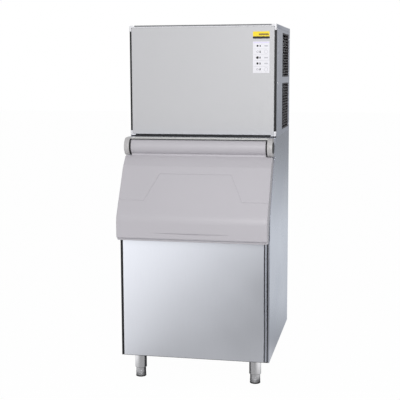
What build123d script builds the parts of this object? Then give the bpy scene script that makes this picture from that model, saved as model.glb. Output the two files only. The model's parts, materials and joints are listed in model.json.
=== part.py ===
from build123d import *
import math
import os

# Ice cube machine: an ice maker head standing on an insulated storage bin.
# All sizes are in millimetres, with X to the right, Y to the back and Z up.
# Sizes are worked out with Y = 0 on the bin's front face. save() then moves each
# piece so that the origin is on the floor under the middle of the machine.

# Overall sizes
WIDTH = 760.0
LEG_HEIGHT = 130.0
BIN_HEIGHT = 1110.0
BIN_DEPTH = 840.0
HEAD_HEIGHT = 565.0
HEAD_DEPTH = 620.0

# Sheet metal
SHEET = 1.2
PAN_SHEET = 1.5
FIT = 0.5
SEAT = 0.3

# Bin front
SURROUND_FACE = 6.0
SURROUND_THICK = 4.0
LEFT_STRIP = 14.0
RIGHT_STRIP = 6.0
FRONT_FOLD = 7.0
SEAM = 5.0
TRIM_WIDTH = 9.0
PANEL_FOOT = 4.0
PANEL_EDGE_R = 2.5

# Bin mouth and apron
MOUTH_DROP = 110.0
MOUTH_RISE = 295.0
MOUTH_SET_BACK = 165.0
APRON_SET_BACK = 175.0
APRON_SHEET = 2.0
FRAME_SINK = 8.0
FRAME_THICK = 14.0
MOUTH_SIDE_MARGIN = 80.0
MOUTH_LOW_EDGE = 40.0
MOUTH_TOP_MARGIN = 53.0
MOUTH_REACH = 160.0
THROAT_DEPTH = 60.0
THROAT_WALL = 2.5

# Bin lining
LINER_WALL = 3.0
FOAM_WALL = 42.0
FOAM_FLOOR = 55.0
FOAM_ROOF = 40.0
DRAIN_R = 12.7
DRAIN_WALL = 2.7
DRAIN_STUB = 26.0
DRAIN_FROM_BACK = 110.0

# Door hinge
CAP_R = 45.0
HINGE_SET_BACK = 127.0
CAP_WIDTH = 25.0
CAP_REVEAL = 3.0
SIDE_REVEAL = 2.0
ROLL_R = 38.0
ROLL_BORE_R = 31.0
ROLL_BOSS = 45.0
ROLL_END_GAP = 8.0
HOOD_WALL = 4.0
HOOD_LIP_ANGLE = 68.0
PIN_R = 12.0
PIN_CLEARANCE = 0.08
PIN_REACH = 36.0
PIN_HEAD_R = 28.0
PIN_HEAD_THICK = 2.8

# Door
DOOR_GAP = 2.0
DOOR_THICK = 75.0
DOOR_WALL = 4.0
DOOR_PROUD = 77.0
DOOR_HANG = 94.0
RIM_HEIGHT = 12.0
RIM_STEP = 16.0
RIM_BACK = 23.0
SHOULDER_DROP = 84.0
KNEE_R = 80.0
SHOULDER_R = 26.0
NOSE_R = 9.0
DOOR_SIDE_R = 7.0
TOP_EDGE_R = 5.0
RIM_INNER_R = 3.0
RIM_R = 4.0
RIM_BACK_R = 6.0
NECK_AHEAD = 17.0
NECK_BEHIND = 21.0
NECK_TOP_AHEAD = 11.0
NECK_TOP_DROP = 30.0
NECK_REAR_DROP = 24.0
NECK_FOOT = 4.0
PANEL_TOP_DROP = 8.0
PANEL_TOP_MARGIN = 16.0
RELIEF_DEPTH = 2.5
RELIEF_SLOPE = 5.0
RELIEF_LOW_RUN = 80.0
RELIEF_TOP_MARGIN = 114.0
RELIEF_LOW_MARGIN = 133.0
RELIEF_HIGH_MARGIN = 197.0
GROOVE_MARGIN = 175.0
GROOVE_DEPTH = 8.0
GROOVE_HEIGHT = 12.0
GROOVE_ABOVE_RIM = 20.0
LINER_PLATE = 3.2
LINER_LOW_RUN = 14.0
LINER_TOP_MARGIN = 30.0
LINER_INSET = 14.0
GASKET_WIDTH = 20.0
GASKET_OUTSIDE = 3.0

# Legs and feet
LEG_INSET = 80.0
LEG_R = 30.0
LEG_WALL = 4.0
LEG_TUBE_LENGTH = 80.0
LEG_FLANGE_R = 37.0
LEG_FLANGE_THICK = 3.0
LEG_CROWN = 10.0
FOOT_TOP_DROP = 35.0
FOOT_PAD_HEIGHT = 6.0
FOOT_RING_DEPTH = 0.6
FOOT_RINGS = 4

# Head shell
FRONT_PROUD = 10.0
FRONT_STRIP = 11.5
FRONT_TRAY = 8.0
FRONT_EDGE_R = 3.0
HEAD_SURROUND_THICK = 4.0
SURROUND_BAND = 34.0
CORNER_WIDTH = 27.0
CORNER_HEIGHT = 30.0
CORNER_LIFT = 6.0
CORNER_R = 6.0
POST_DEPTH = 66.0
POST_FOLD = 18.0
POST_SEAM = 1.5
COVER_FLANGE = 20.0

# Louvred grilles on the right side
GRILLE_FROM_BACK = 58.0
GRILLE_LENGTH = 302.0
GRILLE_HIGH_TOP = 35.0
GRILLE_HIGH_BOTTOM = 264.0
GRILLE_LOW_TOP = 296.0
GRILLE_LOW_BOTTOM = 540.0
GRILLE_BAR = 7.0
GRILLE_DEPTH = 11.0
SLAT_PITCH = 14.5
SLAT_THICK = 1.6
SLAT_TILT = 35.0

# Plates on the head's front
PLATE_FROM_SIDE = 36.0
PLATE_WIDTH = 83.0
PLATE_THICK = 1.0
NAME_TOP = 37.0
NAME_BOTTOM = 71.0
STATUS_TOP = 86.0
STATUS_BOTTOM = 242.0

# Head inside
PARTITION_FROM_SIDE = 320.0
FRAME_ASIDE = 64.0
FRAME_FROM_SIDE = 64.0
FRAME_SIDE = 4.0
FRAME_BEHIND = 98.0
FRAME_DEPTH = 142.0
FRAME_TOP = 505.0
TIE_DEPTH = 20.0
DROP_MARGIN = 16.0
DROP_BEHIND = 25.0
DROP_DEPTH = 88.0

# Evaporator
EVA_BEHIND = 27.0
EVA_DEPTH = 25.0
EVA_BACK_PLATE = 2.0
EVA_BOTTOM = 170.0
EVA_TOP = 470.0
EVA_CELL = 25.0
EVA_FIN = 1.5
COIL_R = 5.0
COIL_RUNS = 6
COIL_MARGIN = 30.0

# Water system
DISTRIBUTOR_R = 11.0
DISTRIBUTOR_WALL = 1.5
DISTRIBUTOR_HOLE_R = 1.5
DISTRIBUTOR_STUB_R = 8.0
DISTRIBUTOR_STUB = 17.0
CURTAIN_SHEET = 2.0
CURTAIN_BOTTOM = 160.0
CURTAIN_PIVOT = 488.0
CURTAIN_AHEAD = 12.0
CURTAIN_PIN_R = 3.0
TROUGH_BEHIND = 20.0
TROUGH_DEPTH = 117.0
TROUGH_BOTTOM = 60.0
TROUGH_TOP = 130.0
TROUGH_WALL = 2.5
PUMP_ASIDE = 56.0
PUMP_BEHIND = 74.0
PUMP_R = 20.0
PUMP_WET_HEIGHT = 30.0
PUMP_MOTOR_R = 25.0
PUMP_MOTOR_HEIGHT = 60.0
HOSE_R = 7.0
HOSE_BEND = 13.0
HOSE_BESIDE = 35.0
HOSE_TOP = 530.0
FLOAT_ASIDE = 46.0
FLOAT_R = 14.0
FLOAT_HEIGHT = 24.0
FLOAT_STEM_R = 3.0
RUNNING_GAP = 0.4

# Refrigeration
COMPRESSOR_FROM_SIDE = 165.0
COMPRESSOR_BEHIND = 150.0
COMPRESSOR_R = 85.0
COMPRESSOR_HEIGHT = 200.0
COMPRESSOR_DOME_R = 38.0
COMPRESSOR_PLATE = 190.0
COMPRESSOR_PLATE_THICK = 4.0
MOUNT_R = 15.0
MOUNT_HEIGHT = 22.0
CONDENSER_FACE = 30.0
CONDENSER_DEPTH = 48.0
CONDENSER_LOW = 34.0
CONDENSER_HIGH = 276.0
CONDENSER_FIN_PITCH = 10.0
CONDENSER_FIN = 0.6
CONDENSER_TUBES = 5
CONDENSER_TUBE_R = 5.0
SHROUD_DEPTH = 8.0
SHROUD_SHEET = 1.5
FAN_R = 104.0
FAN_TIP_GAP = 6.0
FAN_HUB_R = 26.0
FAN_HUB_LENGTH = 22.0
FAN_BLADES = 5
FAN_BLADE_WIDTH = 62.0
FAN_BLADE_THICK = 2.0
FAN_PITCH = 24.0
FAN_SET_BACK = 22.0
FAN_ARM_HALF = 10.0
MOTOR_R = 38.0
MOTOR_LENGTH = 52.0
MOTOR_GAP = 4.0
MOTOR_SHAFT_R = 4.0
MOTOR_EDGE_R = 5.0
CONDENSER_TAIL = 9.0
DRIER_R = 11.0
DRIER_LENGTH = 95.0
DRIER_BEHIND = 160.0
DRIER_LOW = 68.0
TUBE_R = 4.0
LINE_BEND = 14.0

# Controls and services
CONTROL_WIDTH = 270.0
CONTROL_DEPTH = 80.0
CONTROL_LOW = 350.0
CONTROL_HIGH = 535.0
CONTROL_BEHIND = 30.0
LEVER_ASIDE = 70.0
LEVER_LOW = 400.0
LEVER_R = 2.0
LEVER_LENGTH = 14.0
LEVER_BALL_R = 3.7
LEVER_SOCKET = 2.0
BUSHING_R = 7.0
BUSHING_LENGTH = 6.0
SENSOR_ASIDE = 38.0
SENSOR_R = 5.0
SENSOR_LENGTH = 250.0
INLET_ASIDE = 96.0
INLET_LOW = 100.0
INLET_R = 13.1
INLET_BORE_R = 8.0
INLET_FLANGE = 10.0
VALVE_DEPTH = 36.0
VALVE_COIL_HEIGHT = 40.0
STUB_OUT = 18.0
GLAND_ASIDE = 120.0
GLAND_LOW = 440.0
GLAND_R = 12.0
GLAND_BORE_R = 5.0
TROUGH_DRAIN_LOW = 36.0
SPIGOT_R = 9.0

# Places worked out from the sizes above
HALF = WIDTH / 2
BIN_TOP = LEG_HEIGHT + BIN_HEIGHT
HEAD_TOP = BIN_TOP + HEAD_HEIGHT
HEAD_FRONT = BIN_DEPTH - HEAD_DEPTH
SURROUND_BACK = SURROUND_FACE + SURROUND_THICK
HEAD_SURROUND_FRONT = HEAD_FRONT + FRONT_PROUD
HEAD_BODY = HEAD_SURROUND_FRONT + HEAD_SURROUND_THICK
SHELL_INSIDE = HALF - SHEET
TRIM_END = HALF - FRONT_FOLD - RIGHT_STRIP
MOUTH_TOP = BIN_TOP - MOUTH_DROP
MOUTH_LOW = MOUTH_TOP - MOUTH_RISE
MOUTH_LENGTH = math.hypot(MOUTH_RISE, MOUTH_SET_BACK)
RUN_Y = MOUTH_SET_BACK / MOUTH_LENGTH
RUN_Z = MOUTH_RISE / MOUTH_LENGTH
MOUTH_HALF_WIDTH = HALF - MOUTH_SIDE_MARGIN
MOUTH_HIGH_EDGE = MOUTH_LENGTH - MOUTH_TOP_MARGIN
MOUTH_PLANE = Plane(origin=(0, 0, MOUTH_LOW), x_dir=(1, 0, 0), z_dir=(0, -RUN_Z, RUN_Y))
HINGE_Z = BIN_TOP - CAP_R
HINGE = (HINGE_SET_BACK, HINGE_Z)
CAP_OUTER = HALF - CAP_REVEAL
CAP_INNER = CAP_OUTER - CAP_WIDTH
ROLL_HALF = CAP_INNER - ROLL_END_GAP
DOOR_HALF = HALF - SIDE_REVEAL
DOOR_BOTTOM = MOUTH_LOW - DOOR_HANG
DOOR_FRONT = DOOR_GAP + DOOR_THICK
NECK_LOW = HINGE_Z - CAP_R
GROOVE_HALF = HALF - GROOVE_MARGIN
GROOVE_LOW = DOOR_BOTTOM + RIM_HEIGHT + GROOVE_ABOVE_RIM
DRAIN_BORE_R = DRAIN_R - DRAIN_WALL
LEG_BORE_R = LEG_R - LEG_WALL
LEG_TUBE_LOW = LEG_HEIGHT - LEG_TUBE_LENGTH
FOOT_TOP = LEG_HEIGHT - FOOT_TOP_DROP
FOOT_R = LEG_BORE_R - FIT
MID_Y = (BIN_DEPTH + STUB_OUT - DOOR_PROUD) / 2
PLATE_RIGHT = HALF - PLATE_FROM_SIDE
PLATE_LEFT = PLATE_RIGHT - PLATE_WIDTH
BASE_PAN_TOP = BIN_TOP + PAN_SHEET
PARTITION_X = HALF - PARTITION_FROM_SIDE
FRAME_RIGHT = PARTITION_X - FRAME_ASIDE
FRAME_LEFT = FRAME_FROM_SIDE - HALF
FRAME_FRONT = HEAD_FRONT + FRAME_BEHIND
FRAME_BACK = FRAME_FRONT + FRAME_DEPTH
DROP_LEFT = FRAME_LEFT + DROP_MARGIN
DROP_RIGHT = FRAME_RIGHT - DROP_MARGIN
DROP_FRONT = HEAD_FRONT + DROP_BEHIND
DROP_BACK = DROP_FRONT + DROP_DEPTH
EVA_FRONT = FRAME_FRONT + EVA_BEHIND
CURTAIN_Y = EVA_FRONT - CURTAIN_AHEAD
TROUGH_FRONT = FRAME_FRONT + TROUGH_BEHIND
TROUGH_BACK = TROUGH_FRONT + TROUGH_DEPTH
TROUGH_DRAIN_X = (FRAME_LEFT + FRAME_RIGHT) / 2
PUMP_X = FRAME_RIGHT - PUMP_ASIDE
PUMP_Y = TROUGH_FRONT + PUMP_BEHIND
FLOAT_X = FRAME_LEFT + FLOAT_ASIDE
INLET_X = FRAME_LEFT + INLET_ASIDE
HOSE_X = PUMP_X + HOSE_BESIDE
EVA_LEFT = FRAME_LEFT + FRAME_SIDE
EVA_RIGHT = FRAME_RIGHT - FRAME_SIDE
COIL_Y = EVA_FRONT + EVA_DEPTH + EVA_BACK_PLATE + COIL_R + SEAT
COIL_END_X = EVA_RIGHT - COIL_MARGIN
COIL_LOW = BIN_TOP + EVA_BOTTOM + COIL_MARGIN
COIL_HIGH = BIN_TOP + EVA_TOP - COIL_MARGIN
SIDE_FOLD = SHEET + FRAME_SIDE
CORE_HALF = HALF - SIDE_FOLD - FIT
GRILLE_BACK = BIN_DEPTH - GRILLE_FROM_BACK
GRILLE_FRONT = GRILLE_BACK - GRILLE_LENGTH
COMPRESSOR_X = HALF - COMPRESSOR_FROM_SIDE
COMPRESSOR_Y = HEAD_FRONT + COMPRESSOR_BEHIND
CONTROL_FRONT = HEAD_FRONT + CONTROL_BEHIND
LEVER_X = PARTITION_X + LEVER_ASIDE
SENSOR_X = PARTITION_X - SENSOR_ASIDE
GLAND_X = PARTITION_X + GLAND_ASIDE
CONDENSER_INSIDE = HALF - CONDENSER_FACE - CONDENSER_DEPTH
SHROUD_X = CONDENSER_INSIDE - SHROUD_DEPTH
FAN_X = SHROUD_X - FAN_SET_BACK
MOTOR_X = FAN_X - FAN_HUB_LENGTH / 2 - MOTOR_GAP


# Building helpers

def block(x0, x1, y0, y1, z0, z1):
    """A rectangular block between two corners."""
    middle = Pos((x0 + x1) / 2, (y0 + y1) / 2, (z0 + z1) / 2)
    return middle * Box(x1 - x0, y1 - y0, z1 - z0)


def mouth_block(x0, x1, run0, run1, out0, out1):
    """A block laid on the slanted mouth: run goes up the slope, out leaves the bin."""
    middle = Pos((x0 + x1) / 2, (run0 + run1) / 2, (out0 + out1) / 2)
    return MOUTH_PLANE * middle * Box(x1 - x0, run1 - run0, out1 - out0)


def on_mouth(run, out):
    """Y and Z of a place on the slanted mouth."""
    return (run * RUN_Y - out * RUN_Z, MOUTH_LOW + run * RUN_Z + out * RUN_Y)


def side_face(points, radii=None):
    """A closed side outline in Y and Z, with rounded corners where a radius is given."""
    if radii is None:
        outline = Polyline(*points, close=True)
    else:
        outline = FilletPolyline(*points, radius=radii, close=True)
    return make_face(outline)


def across(face, x0, x1):
    """A side outline carried from x0 to x1."""
    return extrude(Plane.YZ.offset(x0) * face, x1 - x0)


def cylinder_x(x0, x1, y, z, radius):
    """A round bar along X."""
    return Pos((x0 + x1) / 2, y, z) * Rot(0, 90, 0) * Cylinder(radius, x1 - x0)


def cylinder_y(x, y0, y1, z, radius):
    """A round bar along Y."""
    return Pos(x, (y0 + y1) / 2, z) * Rot(90, 0, 0) * Cylinder(radius, y1 - y0)


def cylinder_z(x, y, z0, z1, radius):
    """A round bar along Z."""
    return Pos(x, y, (z0 + z1) / 2) * Cylinder(radius, z1 - z0)


def tube(points, radius, bend):
    """A solid round tube along straight runs joined by bends."""
    path = FilletPolyline(*points, radius=bend)
    start = Plane(origin=path @ 0, z_dir=path % 0)
    return sweep(start * Circle(radius), path=path)


def mirrored(solid):
    """The same piece on the other side."""
    return mirror(solid, Plane.YZ)


def save(name, *solids):
    """Write one node, moved to the machine's own origin."""
    placed = [Pos(0, -MID_Y, 0) * solid for solid in solids]
    body = placed[0] if len(placed) == 1 else Compound(children=placed)
    export_step(body, "parts/" + name + ".step")


# Storage bin shell

def bin_side_face():
    """The bin's side outline: upright front, slanted mouth, upright apron, flat top."""
    return side_face([
        (SURROUND_BACK, LEG_HEIGHT),
        (SURROUND_BACK, MOUTH_LOW + SURROUND_BACK * RUN_Z / RUN_Y),
        (MOUTH_SET_BACK, MOUTH_TOP),
        (APRON_SET_BACK, MOUTH_TOP),
        (APRON_SET_BACK, BIN_TOP),
        (BIN_DEPTH, BIN_TOP),
        (BIN_DEPTH, LEG_HEIGHT),
    ])


def bin_side():
    """The right side: one sheet with a short fold all round."""
    face = bin_side_face()
    inner = offset(face, amount=-SHEET, kind=Kind.INTERSECTION)
    return across(face, HALF - SIDE_FOLD, HALF) - across(inner, HALF - SIDE_FOLD, SHELL_INSIDE)


def bin_side_right():
    """The right side, whose front edge is folded round the dark sheet's end."""
    fold = block(HALF - FRONT_FOLD, HALF, SURROUND_FACE, SURROUND_BACK, LEG_HEIGHT, MOUTH_LOW)
    return bin_side() + fold


def bin_back():
    return block(-CORE_HALF, CORE_HALF, BIN_DEPTH - SHEET, BIN_DEPTH,
                 LEG_HEIGHT + PAN_SHEET, BIN_TOP - APRON_SHEET)


def bin_base():
    plate = block(-CORE_HALF, CORE_HALF, SURROUND_BACK, BIN_DEPTH, LEG_HEIGHT, LEG_HEIGHT + PAN_SHEET)
    drain = cylinder_z(0, BIN_DEPTH - DRAIN_FROM_BACK, 0, BIN_TOP, DRAIN_R)
    return plate - drain


def bin_front_surround():
    """The dark sheet behind the front panel, which shows as strips at both edges."""
    return block(-HALF, HALF - FRONT_FOLD, SURROUND_FACE, SURROUND_BACK, LEG_HEIGHT, MOUTH_LOW)


def bin_front_panel():
    """The polished front: a shallow tray between the dark strip and the corner trim."""
    x0 = -HALF + LEFT_STRIP
    x1 = TRIM_END - TRIM_WIDTH - SEAM
    z0 = LEG_HEIGHT + PANEL_FOOT
    z1 = MOUTH_LOW - PANEL_FOOT
    tray = block(x0, x1, 0, SURROUND_FACE, z0, z1)
    edges = tray.edges().filter_by(Axis.Z).group_by(Axis.Y)[0]
    tray = fillet(edges, PANEL_EDGE_R)
    pocket = block(x0 + SHEET, x1 - SHEET, SHEET, SURROUND_FACE, z0 + SHEET, z1 - SHEET)
    return tray - pocket


def front_corner_trim():
    """The narrow bright strip at the right of the front panel, with a rounded foot."""
    x0 = TRIM_END - TRIM_WIDTH
    strip = block(x0, TRIM_END, 0, SURROUND_FACE, LEG_HEIGHT + PANEL_FOOT, MOUTH_LOW - PANEL_FOOT)
    foot = strip.edges().filter_by(Axis.Y).group_by(Axis.Z)[0]
    strip = fillet(foot, TRIM_WIDTH / 2 - FIT)
    face = strip.edges().filter_by(Axis.Z).group_by(Axis.Y)[0]
    return fillet(face, PANEL_EDGE_R)


def lining_face(inset):
    """The bin's hollow seen from the side, shrunk by inset from the foam's inside."""
    back = BIN_DEPTH - FOAM_WALL - inset
    front = FOAM_WALL + inset
    floor = LEG_HEIGHT + FOAM_FLOOR + inset
    roof = BIN_TOP - FOAM_ROOF - inset
    low = MOUTH_LOW - FOAM_WALL
    rear = APRON_SET_BACK + FOAM_WALL + inset
    return side_face([
        (front, floor), (front, low + inset / 2), (rear, MOUTH_TOP - inset / 2),
        (rear, roof), (back, roof), (back, floor),
    ])


def mouth_way(inset):
    """The way in through the slanted mouth, shrunk by inset from the foam's edges."""
    half = MOUTH_HALF_WIDTH - inset
    return mouth_block(-half, half, MOUTH_LOW_EDGE + inset, MOUTH_HIGH_EDGE - inset, -MOUTH_REACH, 0)


def drop_way():
    """The way down for the ice, from the head into the bin."""
    return block(DROP_LEFT, PARTITION_X, DROP_FRONT, DROP_BACK,
                 BIN_TOP - FOAM_ROOF - FOAM_WALL, BIN_TOP + FIT)


def bin_foam():
    """The insulation between the steel shell and the liner."""
    outside = side_face([
        (SURROUND_BACK, LEG_HEIGHT + PAN_SHEET),
        (SURROUND_BACK, MOUTH_LOW),
        on_mouth(0, -FRAME_SINK - FRAME_THICK),
        on_mouth(MOUTH_LENGTH, -FRAME_SINK - FRAME_THICK),
        (APRON_SET_BACK + APRON_SHEET, MOUTH_TOP),
        (APRON_SET_BACK + APRON_SHEET, BIN_TOP - APRON_SHEET),
        (BIN_DEPTH - SHEET, BIN_TOP - APRON_SHEET),
        (BIN_DEPTH - SHEET, LEG_HEIGHT + PAN_SHEET),
    ])
    foam = across(outside, -CORE_HALF, CORE_HALF)
    hollow = across(lining_face(0), -CORE_HALF + FOAM_WALL, CORE_HALF - FOAM_WALL)
    drain = cylinder_z(0, BIN_DEPTH - DRAIN_FROM_BACK, LEG_HEIGHT, BIN_TOP / 2, DRAIN_R)
    return foam - hollow - mouth_way(0) - drop_way() - drain


def bin_liner():
    """The moulded lining, open at the mouth and under the head."""
    side = CORE_HALF - FOAM_WALL - SEAT
    shell = across(lining_face(SEAT), -side, side)
    wall = side - LINER_WALL
    hollow = across(lining_face(SEAT + LINER_WALL), -wall, wall)
    drain = cylinder_z(0, BIN_DEPTH - DRAIN_FROM_BACK, LEG_HEIGHT, BIN_TOP / 2, DRAIN_BORE_R)
    return shell - hollow - mouth_way(0) - drop_way() - drain


def mouth_frame():
    """The frame that the door's gasket closes on, with a throat through the foam."""
    low = FRAME_SINK
    high = MOUTH_LENGTH - FRAME_SINK
    frame = mouth_block(-CORE_HALF, CORE_HALF, low, high, -FRAME_SINK - FRAME_THICK, -FRAME_SINK)
    throat = mouth_block(-MOUTH_HALF_WIDTH, MOUTH_HALF_WIDTH, MOUTH_LOW_EDGE, MOUTH_HIGH_EDGE,
                         -THROAT_DEPTH, -FRAME_SINK)
    return frame + throat - mouth_way(THROAT_WALL)


def bin_top_deck():
    """The flat top that carries the head, folded down in front behind the roll."""
    top = block(-CORE_HALF, CORE_HALF, APRON_SET_BACK, BIN_DEPTH, BIN_TOP - APRON_SHEET, BIN_TOP)
    apron = block(-CORE_HALF, CORE_HALF, APRON_SET_BACK, APRON_SET_BACK + APRON_SHEET,
                  MOUTH_TOP, BIN_TOP)
    return top + apron - drop_way()


def bin_drain():
    """The drain outlet: a tube through the floor with a wider spigot under the base."""
    y = BIN_DEPTH - DRAIN_FROM_BACK
    spigot = cylinder_z(0, y, LEG_HEIGHT - DRAIN_STUB, LEG_HEIGHT, DRAIN_R)
    upper = cylinder_z(0, y, LEG_HEIGHT, LEG_HEIGHT + FOAM_FLOOR, DRAIN_R - FIT)
    return spigot + upper - cylinder_z(0, y, 0, BIN_TOP, DRAIN_BORE_R)


# Door hinge

def sector(inner_r, outer_r, start, end):
    """A ring sector round the hinge, with angles from straight ahead, upwards."""
    steps = [start, (start + end) / 2, end]
    outer = [polar(outer_r, angle) for angle in steps]
    inner = [polar(inner_r, angle) for angle in reversed(steps)]
    outline = Curve() + [
        ThreePointArc(*outer),
        Line(outer[-1], inner[0]),
        ThreePointArc(*inner),
        Line(inner[-1], outer[0]),
    ]
    return make_face(outline)


def polar(radius, angle):
    """Y and Z of a place round the hinge, at an angle above straight ahead."""
    turn = math.radians(angle)
    return (HINGE_SET_BACK - radius * math.cos(turn), HINGE_Z + radius * math.sin(turn))


def hood():
    """The fixed strip over the roll, with a flat tail that is screwed to the apron."""
    band = across(sector(CAP_R - HOOD_WALL, CAP_R, HOOD_LIP_ANGLE, 90), -CAP_INNER, CAP_INNER)
    tail = block(-CAP_INNER, CAP_INNER, HINGE_SET_BACK, APRON_SET_BACK, BIN_TOP - HOOD_WALL, BIN_TOP)
    return band + tail


def hinge_cap():
    """The right end cap: a thick disc round the pin, joined to the apron."""
    disc = cylinder_x(CAP_INNER, CAP_OUTER, *HINGE, CAP_R)
    arm = block(CAP_INNER, CAP_OUTER, HINGE_SET_BACK, APRON_SET_BACK, HINGE_Z - CAP_R, BIN_TOP)
    return disc + arm - cylinder_x(CAP_INNER, CAP_OUTER, *HINGE, PIN_R)


def hinge_pin():
    """The right hinge pin with its wide black head on the outside."""
    pin = cylinder_x(CAP_OUTER - PIN_REACH - CAP_WIDTH, CAP_OUTER, *HINGE, PIN_R)
    head = cylinder_x(CAP_OUTER, CAP_OUTER + PIN_HEAD_THICK, *HINGE, PIN_HEAD_R)
    return pin + head


# Door

def door_face():
    """The door's side outline below its roll."""
    knee_run = (DOOR_FRONT * RUN_Z - DOOR_PROUD) / RUN_Y
    knee = on_mouth(knee_run, DOOR_FRONT)
    shoulder = on_mouth(MOUTH_LENGTH - SHOULDER_DROP, DOOR_FRONT)
    rim_top = DOOR_BOTTOM + RIM_HEIGHT
    points = [
        (HINGE_SET_BACK - NECK_AHEAD, NECK_LOW),
        shoulder,
        knee,
        (-DOOR_PROUD, rim_top),
        (-DOOR_PROUD + RIM_STEP, rim_top),
        (-DOOR_PROUD + RIM_STEP, DOOR_BOTTOM),
        (-RIM_BACK, DOOR_BOTTOM),
        on_mouth(0, DOOR_GAP),
        on_mouth(MOUTH_LENGTH - PANEL_TOP_MARGIN, DOOR_GAP),
        (HINGE_SET_BACK + NECK_BEHIND, NECK_LOW - PANEL_TOP_DROP),
    ]
    radii = [TOP_EDGE_R, SHOULDER_R, KNEE_R, NOSE_R, RIM_INNER_R, RIM_R, RIM_BACK_R, 0,
             RIM_INNER_R, TOP_EDGE_R]
    return side_face(points, radii)


def neck_face():
    """The narrow web between the roll and the door's panel."""
    return side_face([
        (HINGE_SET_BACK - NECK_TOP_AHEAD, HINGE_Z - NECK_TOP_DROP),
        (HINGE_SET_BACK - NECK_AHEAD, NECK_LOW - NECK_FOOT),
        (HINGE_SET_BACK + NECK_BEHIND, NECK_LOW - PANEL_TOP_DROP - NECK_FOOT),
        (HINGE_SET_BACK + NECK_BEHIND, HINGE_Z - NECK_REAR_DROP),
    ])


def relief_cut():
    """The shallow step, with a sloped edge, that leaves a raised field on the front."""
    side = HALF + CAP_R
    low = RELIEF_LOW_RUN
    low_half = HALF - RELIEF_LOW_MARGIN
    high = MOUTH_LENGTH - RELIEF_TOP_MARGIN
    high_half = HALF - RELIEF_HIGH_MARGIN
    slope = math.degrees(math.atan(RELIEF_SLOPE / RELIEF_DEPTH))
    outline = Polyline(
        (-side, low), (-low_half, low), (-high_half, high), (high_half, high),
        (low_half, low), (side, low), (side, MOUTH_LENGTH), (-side, MOUTH_LENGTH), close=True,
    )
    floor = MOUTH_PLANE.offset(DOOR_FRONT - RELIEF_DEPTH) * make_face(outline)
    return extrude(floor, RELIEF_DEPTH * 2, taper=-slope)


def finger_groove():
    """A long shallow groove across the lower front, deepest at its top and in the middle."""
    radius = GROOVE_HALF ** 2 / (2 * GROOVE_DEPTH) + GROOVE_DEPTH / 2
    middle = Pos(0, -DOOR_PROUD + GROOVE_DEPTH - radius, GROOVE_LOW + GROOVE_HEIGHT / 2)
    return middle * Cone(radius - GROOVE_DEPTH + FIT, radius, GROOVE_HEIGHT)


def door_roll():
    """The hollow roll along the door's top, with a bored boss at each end."""
    roll = cylinder_x(-ROLL_HALF, ROLL_HALF, *HINGE, ROLL_R)
    hollow = cylinder_x(-ROLL_HALF + ROLL_BOSS, ROLL_HALF - ROLL_BOSS, *HINGE, ROLL_BORE_R)
    bore = cylinder_x(-ROLL_HALF, ROLL_HALF, *HINGE, PIN_R + PIN_CLEARANCE)
    return roll - hollow - bore


def door_cavity(inset):
    """The hollow inside the door's panel, shrunk by inset from its walls."""
    face = offset(door_face(), amount=-DOOR_WALL - inset, kind=Kind.INTERSECTION)
    side = DOOR_HALF - DOOR_WALL - inset
    above_groove = GROOVE_LOW + GROOVE_HEIGHT + DOOR_WALL + inset
    keep = block(-side, side, -HALF, HALF, above_groove, BIN_TOP)
    return across(face, -side, side) & keep


def liner_window(play):
    """The place of the door's inner plate on the panel's back."""
    half = DOOR_HALF - LINER_INSET + play
    return mouth_block(-half, half, LINER_LOW_RUN - play, MOUTH_LENGTH - LINER_TOP_MARGIN + play,
                       DOOR_GAP - play, DOOR_GAP + LINER_PLATE + play)


def rounded_panel():
    """The door's outer form, with its front side edges rounded."""
    panel = across(door_face(), -DOOR_HALF, DOOR_HALF)
    top = NECK_LOW - RIM_R
    low = DOOR_BOTTOM + RIM_HEIGHT
    edges = []
    for edge in panel.edges():
        middle = edge.center()
        on_side = edge.bounding_box().size.X < FIT
        in_front = (middle - MOUTH_PLANE.origin).dot(MOUTH_PLANE.z_dir) > DOOR_THICK / 2
        if on_side and in_front and low + FIT < middle.Z < top:
            edges.append(edge)
    return fillet(edges, DOOR_SIDE_R)


def door_shell():
    """The moulded door: roll, neck and panel in one, open at the back for the liner."""
    panel = rounded_panel() - relief_cut() - finger_groove()
    panel = panel - door_cavity(0) - liner_window(FIT)
    neck = across(neck_face(), -ROLL_HALF, ROLL_HALF)
    neck = neck - cylinder_x(-HALF, HALF, *HINGE, ROLL_R - DOOR_WALL)
    return panel + neck + door_roll()


def door_liner():
    return liner_window(0)


def door_foam():
    return door_cavity(SEAT) - liner_window(SEAT)


def door_gasket():
    """The soft ring that closes the door on the mouth frame."""
    x1 = MOUTH_HALF_WIDTH + GASKET_OUTSIDE + GASKET_WIDTH
    x0 = x1 - GASKET_WIDTH
    low = MOUTH_LOW_EDGE - GASKET_OUTSIDE
    high = MOUTH_HIGH_EDGE + GASKET_OUTSIDE
    outer = mouth_block(-x1, x1, low - GASKET_WIDTH, high + GASKET_WIDTH,
                        -FRAME_SINK + SEAT, DOOR_GAP)
    return outer - mouth_block(-x0, x0, low, high, -FRAME_SINK, DOOR_GAP)


# Legs and feet

def leg_places():
    """Front left, front right, back left, back right."""
    x = HALF - LEG_INSET
    back = BIN_DEPTH - LEG_INSET
    return {"fl": (-x, LEG_INSET), "fr": (x, LEG_INSET), "bl": (-x, back), "br": (x, back)}


def leg(x, y):
    """The upper tube with its crown and the flange under the base."""
    outside = cylinder_z(x, y, LEG_TUBE_LOW, LEG_HEIGHT, LEG_R)
    flange = cylinder_z(x, y, LEG_HEIGHT - LEG_FLANGE_THICK, LEG_HEIGHT, LEG_FLANGE_R)
    bore = cylinder_z(x, y, LEG_TUBE_LOW, LEG_HEIGHT - LEG_CROWN, LEG_BORE_R)
    return outside + flange - bore


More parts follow.
